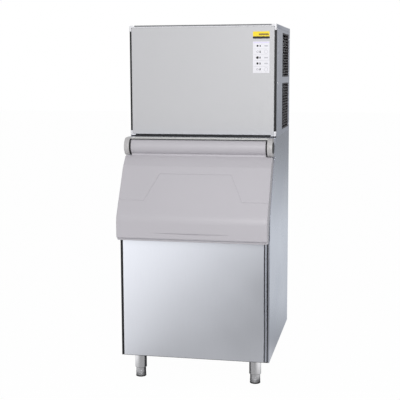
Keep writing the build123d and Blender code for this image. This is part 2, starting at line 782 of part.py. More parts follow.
def foot(x, y):
    """The lower stem, which slides in the tube and ends in a flat pad on the floor."""
    stem = cylinder_z(x, y, 0, FOOT_TOP, FOOT_R)
    pitch = (LEG_TUBE_LOW - FOOT_PAD_HEIGHT) / (FOOT_RINGS + 1)
    for number in range(FOOT_RINGS):
        z = FOOT_PAD_HEIGHT + pitch * number
        ring = cylinder_z(x, y, z, z + SHEET, FOOT_R)
        stem = stem - (ring - cylinder_z(x, y, z, z + SHEET, FOOT_R - FOOT_RING_DEPTH))
    return stem


# Head shell

def head_base():
    """The pan on the bin, with the ice opening and the bin's level sensor hanging from it."""
    plate = block(-SHELL_INSIDE, SHELL_INSIDE, HEAD_BODY, BIN_DEPTH - SHEET, BIN_TOP, BASE_PAN_TOP)
    ice = block(DROP_LEFT, DROP_RIGHT, DROP_FRONT, DROP_BACK, BIN_TOP, BASE_PAN_TOP)
    probe = cylinder_z(SENSOR_X, (DROP_FRONT + DROP_BACK) / 2, BIN_TOP - SENSOR_LENGTH,
                       BASE_PAN_TOP + SENSOR_R, SENSOR_R)
    return plate - ice + probe


def head_side():
    """The right side panel behind the corner post, with its two grille openings."""
    front = HEAD_BODY + POST_DEPTH + POST_SEAM
    sheet = block(SHELL_INSIDE, HALF, front, BIN_DEPTH, BIN_TOP, HEAD_TOP - COVER_FLANGE - FIT)
    fold = block(SHELL_INSIDE - POST_FOLD / 2, SHELL_INSIDE, front, front + SHEET,
                 BASE_PAN_TOP, HEAD_TOP - COVER_FLANGE - FIT)
    return sheet + fold


def grille_way(top, bottom):
    return block(SHELL_INSIDE - FIT, HALF + FIT, GRILLE_FRONT, GRILLE_BACK,
                 HEAD_TOP - bottom, HEAD_TOP - top)


def head_side_right():
    side = head_side()
    side = side - grille_way(GRILLE_HIGH_TOP, GRILLE_HIGH_BOTTOM)
    return side - grille_way(GRILLE_LOW_TOP, GRILLE_LOW_BOTTOM)


def head_post():
    """The right front corner post: outer face and a fold behind the surround."""
    top = HEAD_TOP - COVER_FLANGE - FIT
    face = block(SHELL_INSIDE, HALF, HEAD_BODY, HEAD_BODY + POST_DEPTH, BIN_TOP, top)
    fold = block(SHELL_INSIDE - POST_FOLD, SHELL_INSIDE, HEAD_BODY, HEAD_BODY + SHEET, BASE_PAN_TOP, top)
    return face + fold


def head_back():
    """The back panel with its cable gland, and holes for the water inlet and the drain."""
    panel = block(-SHELL_INSIDE, SHELL_INSIDE, BIN_DEPTH - SHEET, BIN_DEPTH,
                  BIN_TOP, HEAD_TOP - COVER_FLANGE - FIT)
    gland_z = BIN_TOP + GLAND_LOW
    panel = panel + cylinder_y(GLAND_X, BIN_DEPTH, BIN_DEPTH + STUB_OUT, gland_z, GLAND_R)
    inlet = cylinder_y(INLET_X, HEAD_FRONT, BIN_DEPTH, BIN_TOP + INLET_LOW, INLET_R)
    drain = cylinder_y(TROUGH_DRAIN_X, HEAD_FRONT, BIN_DEPTH, BIN_TOP + TROUGH_DRAIN_LOW, HOSE_R + SEAT)
    gland = cylinder_y(GLAND_X, HEAD_FRONT, BIN_DEPTH + STUB_OUT, gland_z, GLAND_BORE_R)
    return panel - inlet - drain - gland


def top_cover():
    """The lid: a flat top with a fold down on both sides and the back."""
    lid = block(-HALF, HALF, HEAD_BODY, BIN_DEPTH, HEAD_TOP - COVER_FLANGE, HEAD_TOP)
    inside = block(-SHELL_INSIDE, SHELL_INSIDE, HEAD_BODY, BIN_DEPTH - SHEET,
                   HEAD_TOP - COVER_FLANGE, HEAD_TOP - SHEET)
    return lid - inside


def front_window(inset, y0, y1):
    """A block over the head's front, shrunk by inset on all four edges."""
    return block(-HALF + inset, HALF - inset, y0, y1, BIN_TOP + inset, HEAD_TOP - inset)


def front_surround():
    """The dark frame round the front panel."""
    ring = front_window(0, HEAD_SURROUND_FRONT, HEAD_BODY)
    return ring - front_window(SURROUND_BAND, HEAD_SURROUND_FRONT, HEAD_BODY)


def front_panel():
    """The pale front panel: a tray with softly rounded front edges."""
    y1 = HEAD_SURROUND_FRONT
    tray = front_window(FRONT_STRIP, HEAD_FRONT, y1)
    corners = tray.edges().filter_by(Axis.Y)
    tray = fillet(corners, FRONT_EDGE_R * 2)
    tray = fillet(tray.faces().sort_by(Axis.Y)[0].edges(), FRONT_EDGE_R)
    pocket = front_window(FRONT_STRIP + FRONT_TRAY, HEAD_FRONT + SHEET * 2, y1)
    return tray - pocket


def corner_block(at_top):
    """One right-hand corner piece, which fills the dark strip's corner."""
    x0 = HALF - CORNER_WIDTH
    if at_top:
        z0, z1 = HEAD_TOP - CORNER_HEIGHT, HEAD_TOP
    else:
        z0, z1 = BIN_TOP + CORNER_LIFT, BIN_TOP + CORNER_HEIGHT
    piece = block(x0, HALF, HEAD_FRONT, HEAD_SURROUND_FRONT, z0, z1)
    upright = piece.edges().filter_by(Axis.Z).group_by(Axis.Y)[0].sort_by(Axis.X)[-1]
    piece = fillet(upright, CORNER_R)
    return piece - front_window(FRONT_STRIP - FIT, HEAD_FRONT, HEAD_SURROUND_FRONT)


def grille(top, bottom):
    """A frame with tilted slats, set into the right side panel."""
    z0 = HEAD_TOP - bottom + FIT
    z1 = HEAD_TOP - top - FIT
    y0 = GRILLE_FRONT + FIT
    y1 = GRILLE_BACK - FIT
    x1 = HALF - FIT
    x0 = x1 - GRILLE_DEPTH
    frame = block(x0, x1, y0, y1, z0, z1)
    frame = frame - block(x0, x1, y0 + GRILLE_BAR, y1 - GRILLE_BAR, z0 + GRILLE_BAR, z1 - GRILLE_BAR)
    count = int((z1 - z0 - 2 * GRILLE_BAR) / SLAT_PITCH)
    first = (z0 + z1) / 2 - SLAT_PITCH * (count - 1) / 2
    for number in range(count):
        middle = Pos((x0 + x1) / 2, (y0 + y1) / 2, first + SLAT_PITCH * number)
        slat = middle * Rot(0, SLAT_TILT, 0) * Box(GRILLE_DEPTH, y1 - y0 - GRILLE_BAR, SLAT_THICK)
        frame = frame + slat
    return frame


def name_plate():
    return block(PLATE_LEFT, PLATE_RIGHT, HEAD_FRONT - PLATE_THICK, HEAD_FRONT,
                 HEAD_TOP - NAME_BOTTOM, HEAD_TOP - NAME_TOP)


def status_panel():
    return block(PLATE_LEFT, PLATE_RIGHT, HEAD_FRONT - PLATE_THICK, HEAD_FRONT,
                 HEAD_TOP - STATUS_BOTTOM, HEAD_TOP - STATUS_TOP)


# Head inside: ice making side

def partition():
    """The wall between the ice making side and the refrigeration side."""
    wall = block(PARTITION_X, PARTITION_X + PAN_SHEET, HEAD_BODY + SEAT, BIN_DEPTH - SHEET,
                 BASE_PAN_TOP, HEAD_TOP - SHEET)
    return wall - coil_ways()


def evaporator_frame():
    """Two side plates and a rear tie that carry the evaporator, trough and curtain."""
    top = BIN_TOP + FRAME_TOP
    pivot_z = BIN_TOP + CURTAIN_PIVOT
    left = block(FRAME_LEFT, FRAME_LEFT + FRAME_SIDE, FRAME_FRONT, FRAME_BACK, BASE_PAN_TOP, top)
    right = block(FRAME_RIGHT - FRAME_SIDE, FRAME_RIGHT, FRAME_FRONT, FRAME_BACK, BASE_PAN_TOP, top)
    tie = block(FRAME_LEFT, FRAME_RIGHT, FRAME_BACK - TIE_DEPTH, FRAME_BACK, top - FRAME_SIDE, top)
    holes = cylinder_x(FRAME_LEFT, FRAME_RIGHT, CURTAIN_Y, pivot_z, CURTAIN_PIN_R + PIN_CLEARANCE)
    return left + right + tie - holes - coil_ways()


def coil_ways():
    """The holes for the two refrigerant tubes, through the frame and the partition."""
    low = cylinder_x(COIL_END_X, COMPRESSOR_X, COIL_Y, COIL_LOW, TUBE_R + FIT)
    return low + cylinder_x(COIL_END_X, COMPRESSOR_X, COIL_Y, COIL_HIGH, TUBE_R + FIT)


def evaporator_plate():
    """The freezing plate: a back plate with a grid of cells, one for each cube."""
    z0 = BIN_TOP + EVA_BOTTOM
    z1 = BIN_TOP + EVA_TOP
    back = EVA_FRONT + EVA_DEPTH
    plate = block(EVA_LEFT, EVA_RIGHT, back, back + EVA_BACK_PLATE, z0, z1)
    columns = round((EVA_RIGHT - EVA_LEFT) / EVA_CELL)
    rows = round((z1 - z0) / EVA_CELL)
    for number in range(columns + 1):
        x = EVA_LEFT + (EVA_RIGHT - EVA_LEFT - EVA_FIN) * number / columns
        plate = plate + block(x, x + EVA_FIN, EVA_FRONT, back, z0, z1)
    for number in range(rows + 1):
        z = z0 + (z1 - z0 - EVA_FIN) * number / rows
        plate = plate + block(EVA_LEFT, EVA_RIGHT, EVA_FRONT, back, z, z + EVA_FIN)
    return plate


def evaporator_coil():
    """The refrigerant tube bent to and fro across the back of the freezing plate."""
    far = EVA_LEFT + COIL_MARGIN
    step = (COIL_HIGH - COIL_LOW) / (COIL_RUNS - 1)
    points = []
    for number in range(COIL_RUNS):
        ends = [COIL_END_X, far] if number % 2 == 0 else [far, COIL_END_X]
        points += [(x, COIL_Y, COIL_LOW + step * number) for x in ends]
    return tube(points, COIL_R, step / 2 - FIT)


def water_distributor():
    """The pipe that lets water run down the freezing plate, with its inlet stub."""
    y = EVA_FRONT + EVA_DEPTH / 2
    z = BIN_TOP + EVA_TOP + DISTRIBUTOR_R + FRAME_SIDE
    pipe = cylinder_x(EVA_LEFT, EVA_RIGHT, y, z, DISTRIBUTOR_R)
    stub = cylinder_z(HOSE_X, y, z, z + DISTRIBUTOR_STUB, DISTRIBUTOR_STUB_R)
    pipe = pipe + stub
    bore = cylinder_x(EVA_LEFT + DISTRIBUTOR_WALL, EVA_RIGHT - DISTRIBUTOR_WALL, y, z,
                      DISTRIBUTOR_R - DISTRIBUTOR_WALL)
    pipe = pipe - bore
    count = round((EVA_RIGHT - EVA_LEFT) / EVA_CELL)
    pitch = (EVA_RIGHT - EVA_LEFT) / count
    for number in range(count):
        x = EVA_LEFT + pitch / 2 + pitch * number
        pipe = pipe - cylinder_z(x, y, z - DISTRIBUTOR_R, z, DISTRIBUTOR_HOLE_R)
    return pipe


def ice_curtain():
    """The light plastic flap in front of the freezing plate."""
    z = BIN_TOP + CURTAIN_PIVOT
    flap = block(EVA_LEFT + CURTAIN_PIN_R, EVA_RIGHT - CURTAIN_PIN_R, CURTAIN_Y - CURTAIN_SHEET / 2,
                 CURTAIN_Y + CURTAIN_SHEET / 2, BIN_TOP + CURTAIN_BOTTOM, z)
    rod = cylinder_x(FRAME_LEFT + FIT, FRAME_RIGHT - FIT, CURTAIN_Y, z, CURTAIN_PIN_R)
    return flap + rod


def water_trough():
    """The open trough under the freezing plate, with its drain spigot."""
    x0 = EVA_LEFT + FIT
    x1 = EVA_RIGHT - FIT
    z0 = BIN_TOP + TROUGH_BOTTOM
    z1 = BIN_TOP + TROUGH_TOP
    outside = block(x0, x1, TROUGH_FRONT, TROUGH_BACK, z0, z1)
    inside = block(x0 + TROUGH_WALL, x1 - TROUGH_WALL, TROUGH_FRONT + TROUGH_WALL,
                   TROUGH_BACK - TROUGH_WALL, z0 + TROUGH_WALL, z1)
    return outside - inside - cylinder_z(TROUGH_DRAIN_X, PUMP_Y, z0, z1, HOSE_R - TROUGH_WALL)


def water_pump():
    """The circulation pump: wet end in the trough, motor above, bracket on the rim."""
    floor = BIN_TOP + TROUGH_BOTTOM + TROUGH_WALL + SEAT
    rim = BIN_TOP + TROUGH_TOP
    wet = cylinder_z(PUMP_X, PUMP_Y, floor, floor + PUMP_WET_HEIGHT, PUMP_R)
    neck = cylinder_z(PUMP_X, PUMP_Y, floor, rim + SHEET, PUMP_R / 2)
    bracket = block(PUMP_X - PUMP_MOTOR_R, PUMP_X + PUMP_MOTOR_R, PUMP_Y - PUMP_MOTOR_R,
                    TROUGH_BACK, rim, rim + PAN_SHEET)
    motor = cylinder_z(PUMP_X, PUMP_Y, rim, rim + PUMP_MOTOR_HEIGHT, PUMP_MOTOR_R)
    return wet + neck + bracket + motor


def pump_hose():
    """The hose from the pump up and over to the distributor."""
    y = EVA_FRONT + EVA_DEPTH / 2
    low = BIN_TOP + TROUGH_BOTTOM + TROUGH_WALL + PUMP_R
    high = BIN_TOP + HOSE_TOP
    end = BIN_TOP + EVA_TOP + DISTRIBUTOR_R + FRAME_SIDE + DISTRIBUTOR_STUB
    points = [(PUMP_X + PUMP_R, PUMP_Y, low), (HOSE_X, PUMP_Y, low), (HOSE_X, PUMP_Y, high),
              (HOSE_X, y, high), (HOSE_X, y, end)]
    return tube(points, HOSE_R, HOSE_BEND)


def float_switch():
    """The stem and bracket that the float rides on."""
    floor = BIN_TOP + TROUGH_BOTTOM + TROUGH_WALL + SEAT
    rim = BIN_TOP + TROUGH_TOP
    stem = cylinder_z(FLOAT_X, PUMP_Y, floor, rim, FLOAT_STEM_R)
    stop = cylinder_z(FLOAT_X, PUMP_Y, floor, floor + SHEET * 2, FLOAT_STEM_R * 2)
    bracket = block(FLOAT_X - FLOAT_R / 2, FLOAT_X + FLOAT_R / 2, PUMP_Y - FLOAT_R / 2,
                    TROUGH_BACK, rim, rim + PAN_SHEET)
    return stem + stop + bracket


def float_ball():
    """The hollow float, at the bottom of its stroke."""
    floor = BIN_TOP + TROUGH_BOTTOM + TROUGH_WALL + SEAT * 2 + SHEET * 2
    body = cylinder_z(FLOAT_X, PUMP_Y, floor, floor + FLOAT_HEIGHT, FLOAT_R)
    return body - cylinder_z(FLOAT_X, PUMP_Y, floor, floor + FLOAT_HEIGHT, FLOAT_STEM_R + RUNNING_GAP)


def inlet_valve():
    """The water inlet valve: coil, body and a threaded stub through the back panel."""
    z = BIN_TOP + INLET_LOW
    stub = cylinder_y(INLET_X, BIN_DEPTH, BIN_DEPTH + STUB_OUT, z, INLET_R)
    inside = BIN_DEPTH - STUB_OUT
    stub = stub + cylinder_y(INLET_X, inside, BIN_DEPTH, z, INLET_R - FIT)
    flange = cylinder_y(INLET_X, inside, BIN_DEPTH - SHEET, z, INLET_R + INLET_FLANGE)
    body = block(INLET_X - INLET_R, INLET_X + INLET_R, inside - VALVE_DEPTH, inside,
                 z - INLET_R, z + INLET_R)
    coil = cylinder_z(INLET_X, inside - VALVE_DEPTH / 2, z, z + VALVE_COIL_HEIGHT, INLET_R)
    bore = cylinder_y(INLET_X, inside, BIN_DEPTH + STUB_OUT, z, INLET_BORE_R)
    return stub + flange + body + coil - bore


def drain_hose():
    """The hose from the trough's drain down and out at the back."""
    start = BIN_TOP + TROUGH_BOTTOM
    low = BIN_TOP + TROUGH_DRAIN_LOW
    points = [(TROUGH_DRAIN_X, PUMP_Y, start), (TROUGH_DRAIN_X, PUMP_Y, low),
              (TROUGH_DRAIN_X, BIN_DEPTH + STUB_OUT, low)]
    spigot = cylinder_y(TROUGH_DRAIN_X, BIN_DEPTH, BIN_DEPTH + STUB_OUT, low, SPIGOT_R)
    return tube(points, HOSE_R, HOSE_BEND / 2) + spigot


# Head inside: refrigeration side

def compressor():
    """The sealed compressor can on its foot plate."""
    z0 = BASE_PAN_TOP + MOUNT_HEIGHT
    can = cylinder_z(COMPRESSOR_X, COMPRESSOR_Y, z0, z0 + COMPRESSOR_HEIGHT, COMPRESSOR_R)
    can = fillet(can.edges().group_by(Axis.Z)[-1], COMPRESSOR_DOME_R)
    half = COMPRESSOR_PLATE / 2
    plate = block(COMPRESSOR_X - half, COMPRESSOR_X + half, COMPRESSOR_Y - half,
                  COMPRESSOR_Y + half, z0, z0 + COMPRESSOR_PLATE_THICK)
    return can + plate


def compressor_mounts():
    """Four rubber blocks between the foot plate and the base pan."""
    reach = COMPRESSOR_PLATE / 2 - MOUNT_R
    places = [(sx * reach, sy * reach) for sx in (-1, 1) for sy in (-1, 1)]
    return [cylinder_z(COMPRESSOR_X + x, COMPRESSOR_Y + y, BASE_PAN_TOP, BASE_PAN_TOP + MOUNT_HEIGHT,
                       MOUNT_R) for x, y in places]


def condenser():
    """Upright fins on cross tubes, with an end plate at front and back that stands on the pan."""
    x1 = HALF - CONDENSER_FACE
    x0 = x1 - CONDENSER_DEPTH
    z0 = BIN_TOP + CONDENSER_LOW
    z1 = BIN_TOP + CONDENSER_HIGH
    ends = block(x0, x1, GRILLE_FRONT, GRILLE_FRONT + PAN_SHEET, BASE_PAN_TOP, z1)
    ends = ends + block(x0, x1, GRILLE_BACK - PAN_SHEET, GRILLE_BACK, BASE_PAN_TOP, z1)
    row = (z1 - z0) / CONDENSER_TUBES
    for number in range(CONDENSER_TUBES):
        z = z0 + row / 2 + row * number
        ends = ends + cylinder_y((x0 + x1) / 2, GRILLE_FRONT - CONDENSER_TAIL,
                                 GRILLE_BACK + CONDENSER_TAIL, z, CONDENSER_TUBE_R)
    count = int((GRILLE_BACK - GRILLE_FRONT) / CONDENSER_FIN_PITCH) - 1
    fins = []
    for number in range(count):
        y = GRILLE_FRONT + CONDENSER_FIN_PITCH * (number + 1)
        fins.append(block(x0, x1, y, y + CONDENSER_FIN, z0, z1))
    return ends + fins


def fan_middle():
    """Y and Z of the fan's shaft, in the middle of the condenser."""
    return ((GRILLE_FRONT + GRILLE_BACK) / 2, BIN_TOP + (CONDENSER_LOW + CONDENSER_HIGH) / 2)


def fan_shroud():
    """The sheet behind the condenser with the fan's round opening, and the motor's arms."""
    y, z = fan_middle()
    top = BIN_TOP + CONDENSER_HIGH
    box_out = block(SHROUD_X, CONDENSER_INSIDE, GRILLE_FRONT, GRILLE_BACK, BASE_PAN_TOP, top)
    box_in = block(SHROUD_X + SHROUD_SHEET, CONDENSER_INSIDE, GRILLE_FRONT + SHROUD_SHEET,
                   GRILLE_BACK - SHROUD_SHEET, BASE_PAN_TOP + SHROUD_SHEET, top - SHROUD_SHEET)
    mouth = cylinder_x(SHROUD_X, CONDENSER_INSIDE, y, z, FAN_R + FAN_TIP_GAP)
    back = MOTOR_X - MOTOR_LENGTH
    reach = FAN_R + FAN_TIP_GAP + FAN_ARM_HALF
    low = z - FAN_ARM_HALF
    high = z + FAN_ARM_HALF
    strap = block(back - PAN_SHEET, back, y - reach, y + reach, low, high)
    near_arm = block(back - PAN_SHEET, SHROUD_X, y - reach - PAN_SHEET, y - reach, low, high)
    far_arm = block(back - PAN_SHEET, SHROUD_X, y + reach, y + reach + PAN_SHEET, low, high)
    return box_out - box_in - mouth + strap + near_arm + far_arm


def fan_motor():
    y, z = fan_middle()
    body = cylinder_x(MOTOR_X - MOTOR_LENGTH, MOTOR_X, y, z, MOTOR_R)
    body = fillet(body.edges().group_by(Axis.X)[-1], MOTOR_EDGE_R)
    return body + cylinder_x(MOTOR_X, FAN_X + FAN_HUB_LENGTH / 2, y, z, MOTOR_SHAFT_R)


def fan_blade():
    """The fan: a hub and tilted blades, with a running bore on the motor's shaft."""
    y, z = fan_middle()
    hub = cylinder_x(FAN_X - FAN_HUB_LENGTH / 2, FAN_X + FAN_HUB_LENGTH / 2, y, z, FAN_HUB_R)
    reach = FAN_R - FAN_HUB_R + FAN_HUB_R / 2
    for number in range(FAN_BLADES):
        turn = 360.0 / FAN_BLADES * number
        place = Pos(FAN_X, y, z) * Rot(turn, 0, 0) * Pos(0, 0, FAN_HUB_R / 2 + reach / 2)
        hub = hub + place * Rot(0, 0, 90 - FAN_PITCH) * Box(FAN_BLADE_WIDTH, FAN_BLADE_THICK, reach)
    keep = cylinder_x(FAN_X - FAN_HUB_LENGTH, FAN_X + FAN_HUB_LENGTH, y, z, FAN_R)
    bore = cylinder_x(FAN_X - FAN_HUB_LENGTH, FAN_X + FAN_HUB_LENGTH, y, z, MOTOR_SHAFT_R + PIN_CLEARANCE)
    return (hub & keep) - bore


def drier_place():
    """X, Y and the lower Z of the drier, against the partition."""
    x = PARTITION_X + PAN_SHEET + DRIER_R + SEAT
    return (x, GRILLE_FRONT + DRIER_BEHIND, BIN_TOP + DRIER_LOW)


def filter_drier():
    """The drier can, upright against the partition, with rounded ends."""
    x, y, z0 = drier_place()
    can = cylinder_z(x, y, z0, z0 + DRIER_LENGTH, DRIER_R)
    return fillet(can.edges().filter_by(GeomType.CIRCLE), DRIER_R / 2)


def discharge_line():
    """Hot gas from the compressor's side to the condenser's top row."""
    x = HALF - CONDENSER_FACE - CONDENSER_DEPTH / 2
    row = BIN_TOP + CONDENSER_HIGH - (CONDENSER_HIGH - CONDENSER_LOW) / CONDENSER_TUBES / 2
    z = BASE_PAN_TOP + MOUNT_HEIGHT + COMPRESSOR_HEIGHT / 2
    return tube([(COMPRESSOR_X + COMPRESSOR_R, COMPRESSOR_Y, z), (x, COMPRESSOR_Y, z),
                 (x, COMPRESSOR_Y + LINE_BEND * 2, row), (x, GRILLE_FRONT - CONDENSER_TAIL, row)],
                TUBE_R, LINE_BEND)


def liquid_line():
    """From the condenser's bottom row round the back to the drier's lower end."""
    x0 = HALF - CONDENSER_FACE - CONDENSER_DEPTH / 2
    row = BIN_TOP + CONDENSER_LOW + (CONDENSER_HIGH - CONDENSER_LOW) / CONDENSER_TUBES / 2
    x, y, z = drier_place()
    start = GRILLE_BACK + CONDENSER_TAIL
    return tube([(x0, start, row), (x0, start + LINE_BEND * 2, row), (x, start + LINE_BEND * 2, row),
                 (x, y, row), (x, y, z)], TUBE_R, LINE_BEND / 2)


def feed_line():
    """From the drier's upper end through the partition to the coil's lower end."""
    x, y, z = drier_place()
    return tube([(x, y, z + DRIER_LENGTH), (x, y, COIL_LOW), (x, COIL_Y, COIL_LOW),
                 (COIL_END_X, COIL_Y, COIL_LOW)], TUBE_R, LINE_BEND)


def suction_line():
    """From the coil's upper end through the partition and down to the compressor."""
    nearest = COIL_Y - COMPRESSOR_Y - TUBE_R
    side = COMPRESSOR_X - math.sqrt(COMPRESSOR_R ** 2 - nearest ** 2)
    x = side - LINE_BEND * 2
    z = BASE_PAN_TOP + MOUNT_HEIGHT + COMPRESSOR_HEIGHT / 2
    return tube([(COIL_END_X, COIL_Y, COIL_HIGH), (x, COIL_Y, COIL_HIGH), (x, COIL_Y, z),
                 (side, COIL_Y, z)], TUBE_R, LINE_BEND)


def control_box():
    """The closed box of the controls on the partition, with the mode switch's bushing."""
    x0 = PARTITION_X + PAN_SHEET
    box = block(x0, x0 + CONTROL_WIDTH, CONTROL_FRONT, CONTROL_FRONT + CONTROL_DEPTH,
                BIN_TOP + CONTROL_LOW, BIN_TOP + CONTROL_HIGH)
    z = BIN_TOP + LEVER_LOW
    bushing = cylinder_y(LEVER_X, CONTROL_FRONT - BUSHING_LENGTH, CONTROL_FRONT, z, BUSHING_R)
    socket = cylinder_y(LEVER_X, CONTROL_FRONT - BUSHING_LENGTH, CONTROL_FRONT + LEVER_SOCKET, z,
                        LEVER_BALL_R + SEAT)
    return box + bushing - socket


def mode_lever():
    """The switch lever: a ball in the bushing and a short rounded bat."""
    z = BIN_TOP + LEVER_LOW
    y = CONTROL_FRONT + LEVER_SOCKET - SEAT - LEVER_BALL_R
    ball = Pos(LEVER_X, y, z) * Sphere(LEVER_BALL_R)
    return ball + cylinder_y(LEVER_X, y - LEVER_LENGTH, y, z, LEVER_R)


def save_all():
    """Build and write every piece."""
    save("bin_side_right", bin_side_right())
    save("bin_side_left", mirrored(bin_side()))
    save("bin_back", bin_back())
    save("bin_base", bin_base())
    save("bin_front_surround", bin_front_surround())
    save("bin_front_panel", bin_front_panel())
    save("front_corner_trim", front_corner_trim())
    save("bin_foam", bin_foam())
    save("bin_liner", bin_liner())
    save("mouth_frame", mouth_frame())
    save("bin_top_deck", bin_top_deck())
    save("bin_drain", bin_drain())
    save("hood", hood())
    save("hinge_caps", hinge_cap(), mirrored(hinge_cap()))
    save("hinge_pins", hinge_pin(), mirrored(hinge_pin()))
    save("door_shell", door_shell())
    save("door_liner", door_liner())
    save("door_foam", door_foam())
    save("door_gasket", door_gasket())
    places = leg_places()
    save("legs", *[leg(*place) for place in places.values()])
    for name, place in places.items():
        save("foot_" + name, foot(*place))
    save("head_base", head_base())
    save("head_side_right", head_side_right())
    save("head_side_left", mirrored(head_side()))
    save("head_posts", head_post(), mirrored(head_post()))
    save("head_back", head_back())
    save("top_cover", top_cover())
    save("front_surround", front_surround())
    save("front_panel", front_panel())
    blocks = [corner_block(True), corner_block(False)]
    save("corner_blocks", *blocks, *[mirrored(piece) for piece in blocks])
    save("grille_upper", grille(GRILLE_HIGH_TOP, GRILLE_HIGH_BOTTOM))
    save("grille_lower", grille(GRILLE_LOW_TOP, GRILLE_LOW_BOTTOM))
    save("name_plate", name_plate())
    save("status_panel", status_panel())
    save("partition", partition())
    save("evaporator_frame", evaporator_frame())
    save("evaporator_plate", evaporator_plate())
    save("evaporator_coil", evaporator_coil())
    save("water_distributor", water_distributor())
    save("ice_curtain", ice_curtain())
    save("water_trough", water_trough())
    save("water_pump", water_pump())
    save("pump_hose", pump_hose())
    save("float_switch", float_switch())
    save("float_ball", float_ball())
    save("inlet_valve", inlet_valve())
    save("drain_hose", drain_hose())
    save("compressor", compressor())
    save("compressor_mounts", *compressor_mounts())
    save("condenser", condenser())
    save("fan_shroud", fan_shroud())
    save("fan_motor", fan_motor())
    save("fan_blade", fan_blade())
    save("filter_drier", filter_drier())
    save("refrigerant_lines", discharge_line(), liquid_line(), feed_line(), suction_line())
    save("control_box", control_box())
    save("mode_lever", mode_lever())


os.makedirs("parts", exist_ok=True)
save_all()
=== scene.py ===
import json
import math

import bmesh
import bpy
from bpy.props import FloatProperty, FloatVectorProperty, IntProperty, PointerProperty
from mathutils import Matrix, Vector


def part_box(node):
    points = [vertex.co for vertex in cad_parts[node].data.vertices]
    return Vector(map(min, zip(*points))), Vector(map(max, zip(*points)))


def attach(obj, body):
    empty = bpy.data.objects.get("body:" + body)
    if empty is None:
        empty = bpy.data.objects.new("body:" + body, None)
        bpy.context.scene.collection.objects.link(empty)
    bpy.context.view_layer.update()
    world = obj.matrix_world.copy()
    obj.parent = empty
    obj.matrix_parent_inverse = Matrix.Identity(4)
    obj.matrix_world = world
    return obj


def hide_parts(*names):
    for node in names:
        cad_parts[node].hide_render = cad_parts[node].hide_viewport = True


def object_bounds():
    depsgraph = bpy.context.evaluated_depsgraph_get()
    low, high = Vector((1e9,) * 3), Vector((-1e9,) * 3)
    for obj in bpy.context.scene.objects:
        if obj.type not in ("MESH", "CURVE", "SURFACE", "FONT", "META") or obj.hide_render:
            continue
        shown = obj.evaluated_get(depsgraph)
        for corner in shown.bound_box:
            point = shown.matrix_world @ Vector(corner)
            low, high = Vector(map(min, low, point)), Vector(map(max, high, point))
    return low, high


bl_info = {
    "name": "Ice cube machine",
    "version": (1, 0, 0),
    "blender": (4, 5, 0),
    "location": "3D View > Sidebar > Ice machine",
    "description": "Dresses an ice cube machine: finishes, plates, fasteners and a studio",
    "category": "Object",
}

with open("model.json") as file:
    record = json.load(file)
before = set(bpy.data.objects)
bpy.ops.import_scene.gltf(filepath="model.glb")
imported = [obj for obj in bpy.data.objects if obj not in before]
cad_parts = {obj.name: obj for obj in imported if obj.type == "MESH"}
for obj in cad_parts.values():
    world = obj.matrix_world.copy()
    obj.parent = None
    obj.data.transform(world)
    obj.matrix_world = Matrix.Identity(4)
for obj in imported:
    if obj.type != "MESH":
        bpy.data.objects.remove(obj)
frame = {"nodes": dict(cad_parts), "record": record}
NODES = frame["nodes"]
CAD_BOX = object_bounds()
SLOTS = {part["node"]: part["material_slot"] for part in frame["record"]["subparts"]}
BODIES = {node: body for body, nodes in frame["record"]["behaviour"]["bodies"].items() for node in nodes}

MM = 0.001
FLOOR_SIZE = 40.0
LAMP_SIZE = 1.8
MERGE = 0.00002
FLAT_ANGLE = math.radians(0.5)
SMOOTH_ANGLE = math.radians(35)
SHARP_ANGLE = math.radians(40)
FLAT_BACK = (math.radians(90), 0, 0)
FLAT_ASIDE = (0, math.radians(90), 0)

# Painted reflection: the floor as metal mirrors it, a glow that only glossy rays see; stretches of floor in
# metres, and how bright they are
MIRROR_LEFT_X = -1.6
MIRROR_RIGHT_X = 0.15
REAR_START = (-0.5, 0.3)
REAR_REACH = 16.0
REAR_TINT = (0.93, 0.965, 1.0)
REAR_FIRST = (0.38, 0.392, 0.405)
REAR_LAST = (0.31, 0.32, 0.33)
REAR_STOPS = ((0.10, 0.74), (0.26, 0.84), (0.44, 0.64), (0.69, 0.43))
# Painted highlight: the floor close beside the machine, bright in metal for the legs
NEAR_FRONT = (-1.1, -0.85)
NEAR_BACK = (0.0, 0.5)
NEAR_ASIDE = (0.3, 0.8)
NEAR_LEVELS = (0.45, 1.3)
# Painted shadow: the floor under the machine, dark in metal
UNDER_ASIDE = (0.36, 0.42)
UNDER_FRONT = (-0.40, -0.28)
UNDER_BACK = (0.45, 0.6)
UNDER_SHADOW_PAINTED = (0.03, 0.03, 0.032)

# Solids given a darker copy of their slot's finish, as painted shade
SHADED_TONE = {"hinge_caps": "cap_plastic_shaded"}

# Marks on the yellow plate, and on the white plate from its left edge
STRIPE_SPAN = (0.34, 0.95)
STRIPE_DROP = (18 * MM, 10 * MM)
DISCS_X = 23 * MM
DISCS = ((0, 4.8 * MM), (2, 6.6 * MM), (3, 5.4 * MM))  # row and radius
PILL = (33.6 * MM, 38.6 * MM, 5 * MM)  # left, right and half the height
RING_X = 66 * MM
BAR = (57 * MM, 76 * MM, 3.4 * MM)
RING_ROWS = (1, 4)
LINE_MARGIN = 6 * MM

# Back fittings
GLAND_RIBS = 4
THREAD_TURNS = 5
THREAD_PITCH = 2.2 * MM


def box_of(node):
    """The lowest and highest corner of a solid, in metres."""
    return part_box(node)


def srgb(red, green, blue):
    """A colour written as it shows on a screen, 0 to 255, turned into linear light."""
    parts = (value / 255 for value in (red, green, blue))
    return tuple(part / 12.92 if part <= 0.04045 else ((part + 0.055) / 1.055) ** 2.4 for part in parts)


# Settings that a user would change

def colour_field(name, description, default):
    """A colour setting."""
    return FloatVectorProperty(name=name, description=description, subtype="COLOR", default=default,
                               min=0.0, max=1.0)


def length_field(name, description, default):
    """A length setting, for small sizes."""
    return FloatProperty(name=name, description=description, unit="LENGTH", precision=5, default=default)


def level_field(name, description, default):
    """A brightness setting."""
    return FloatProperty(name=name, description=description, default=default, min=0.0)


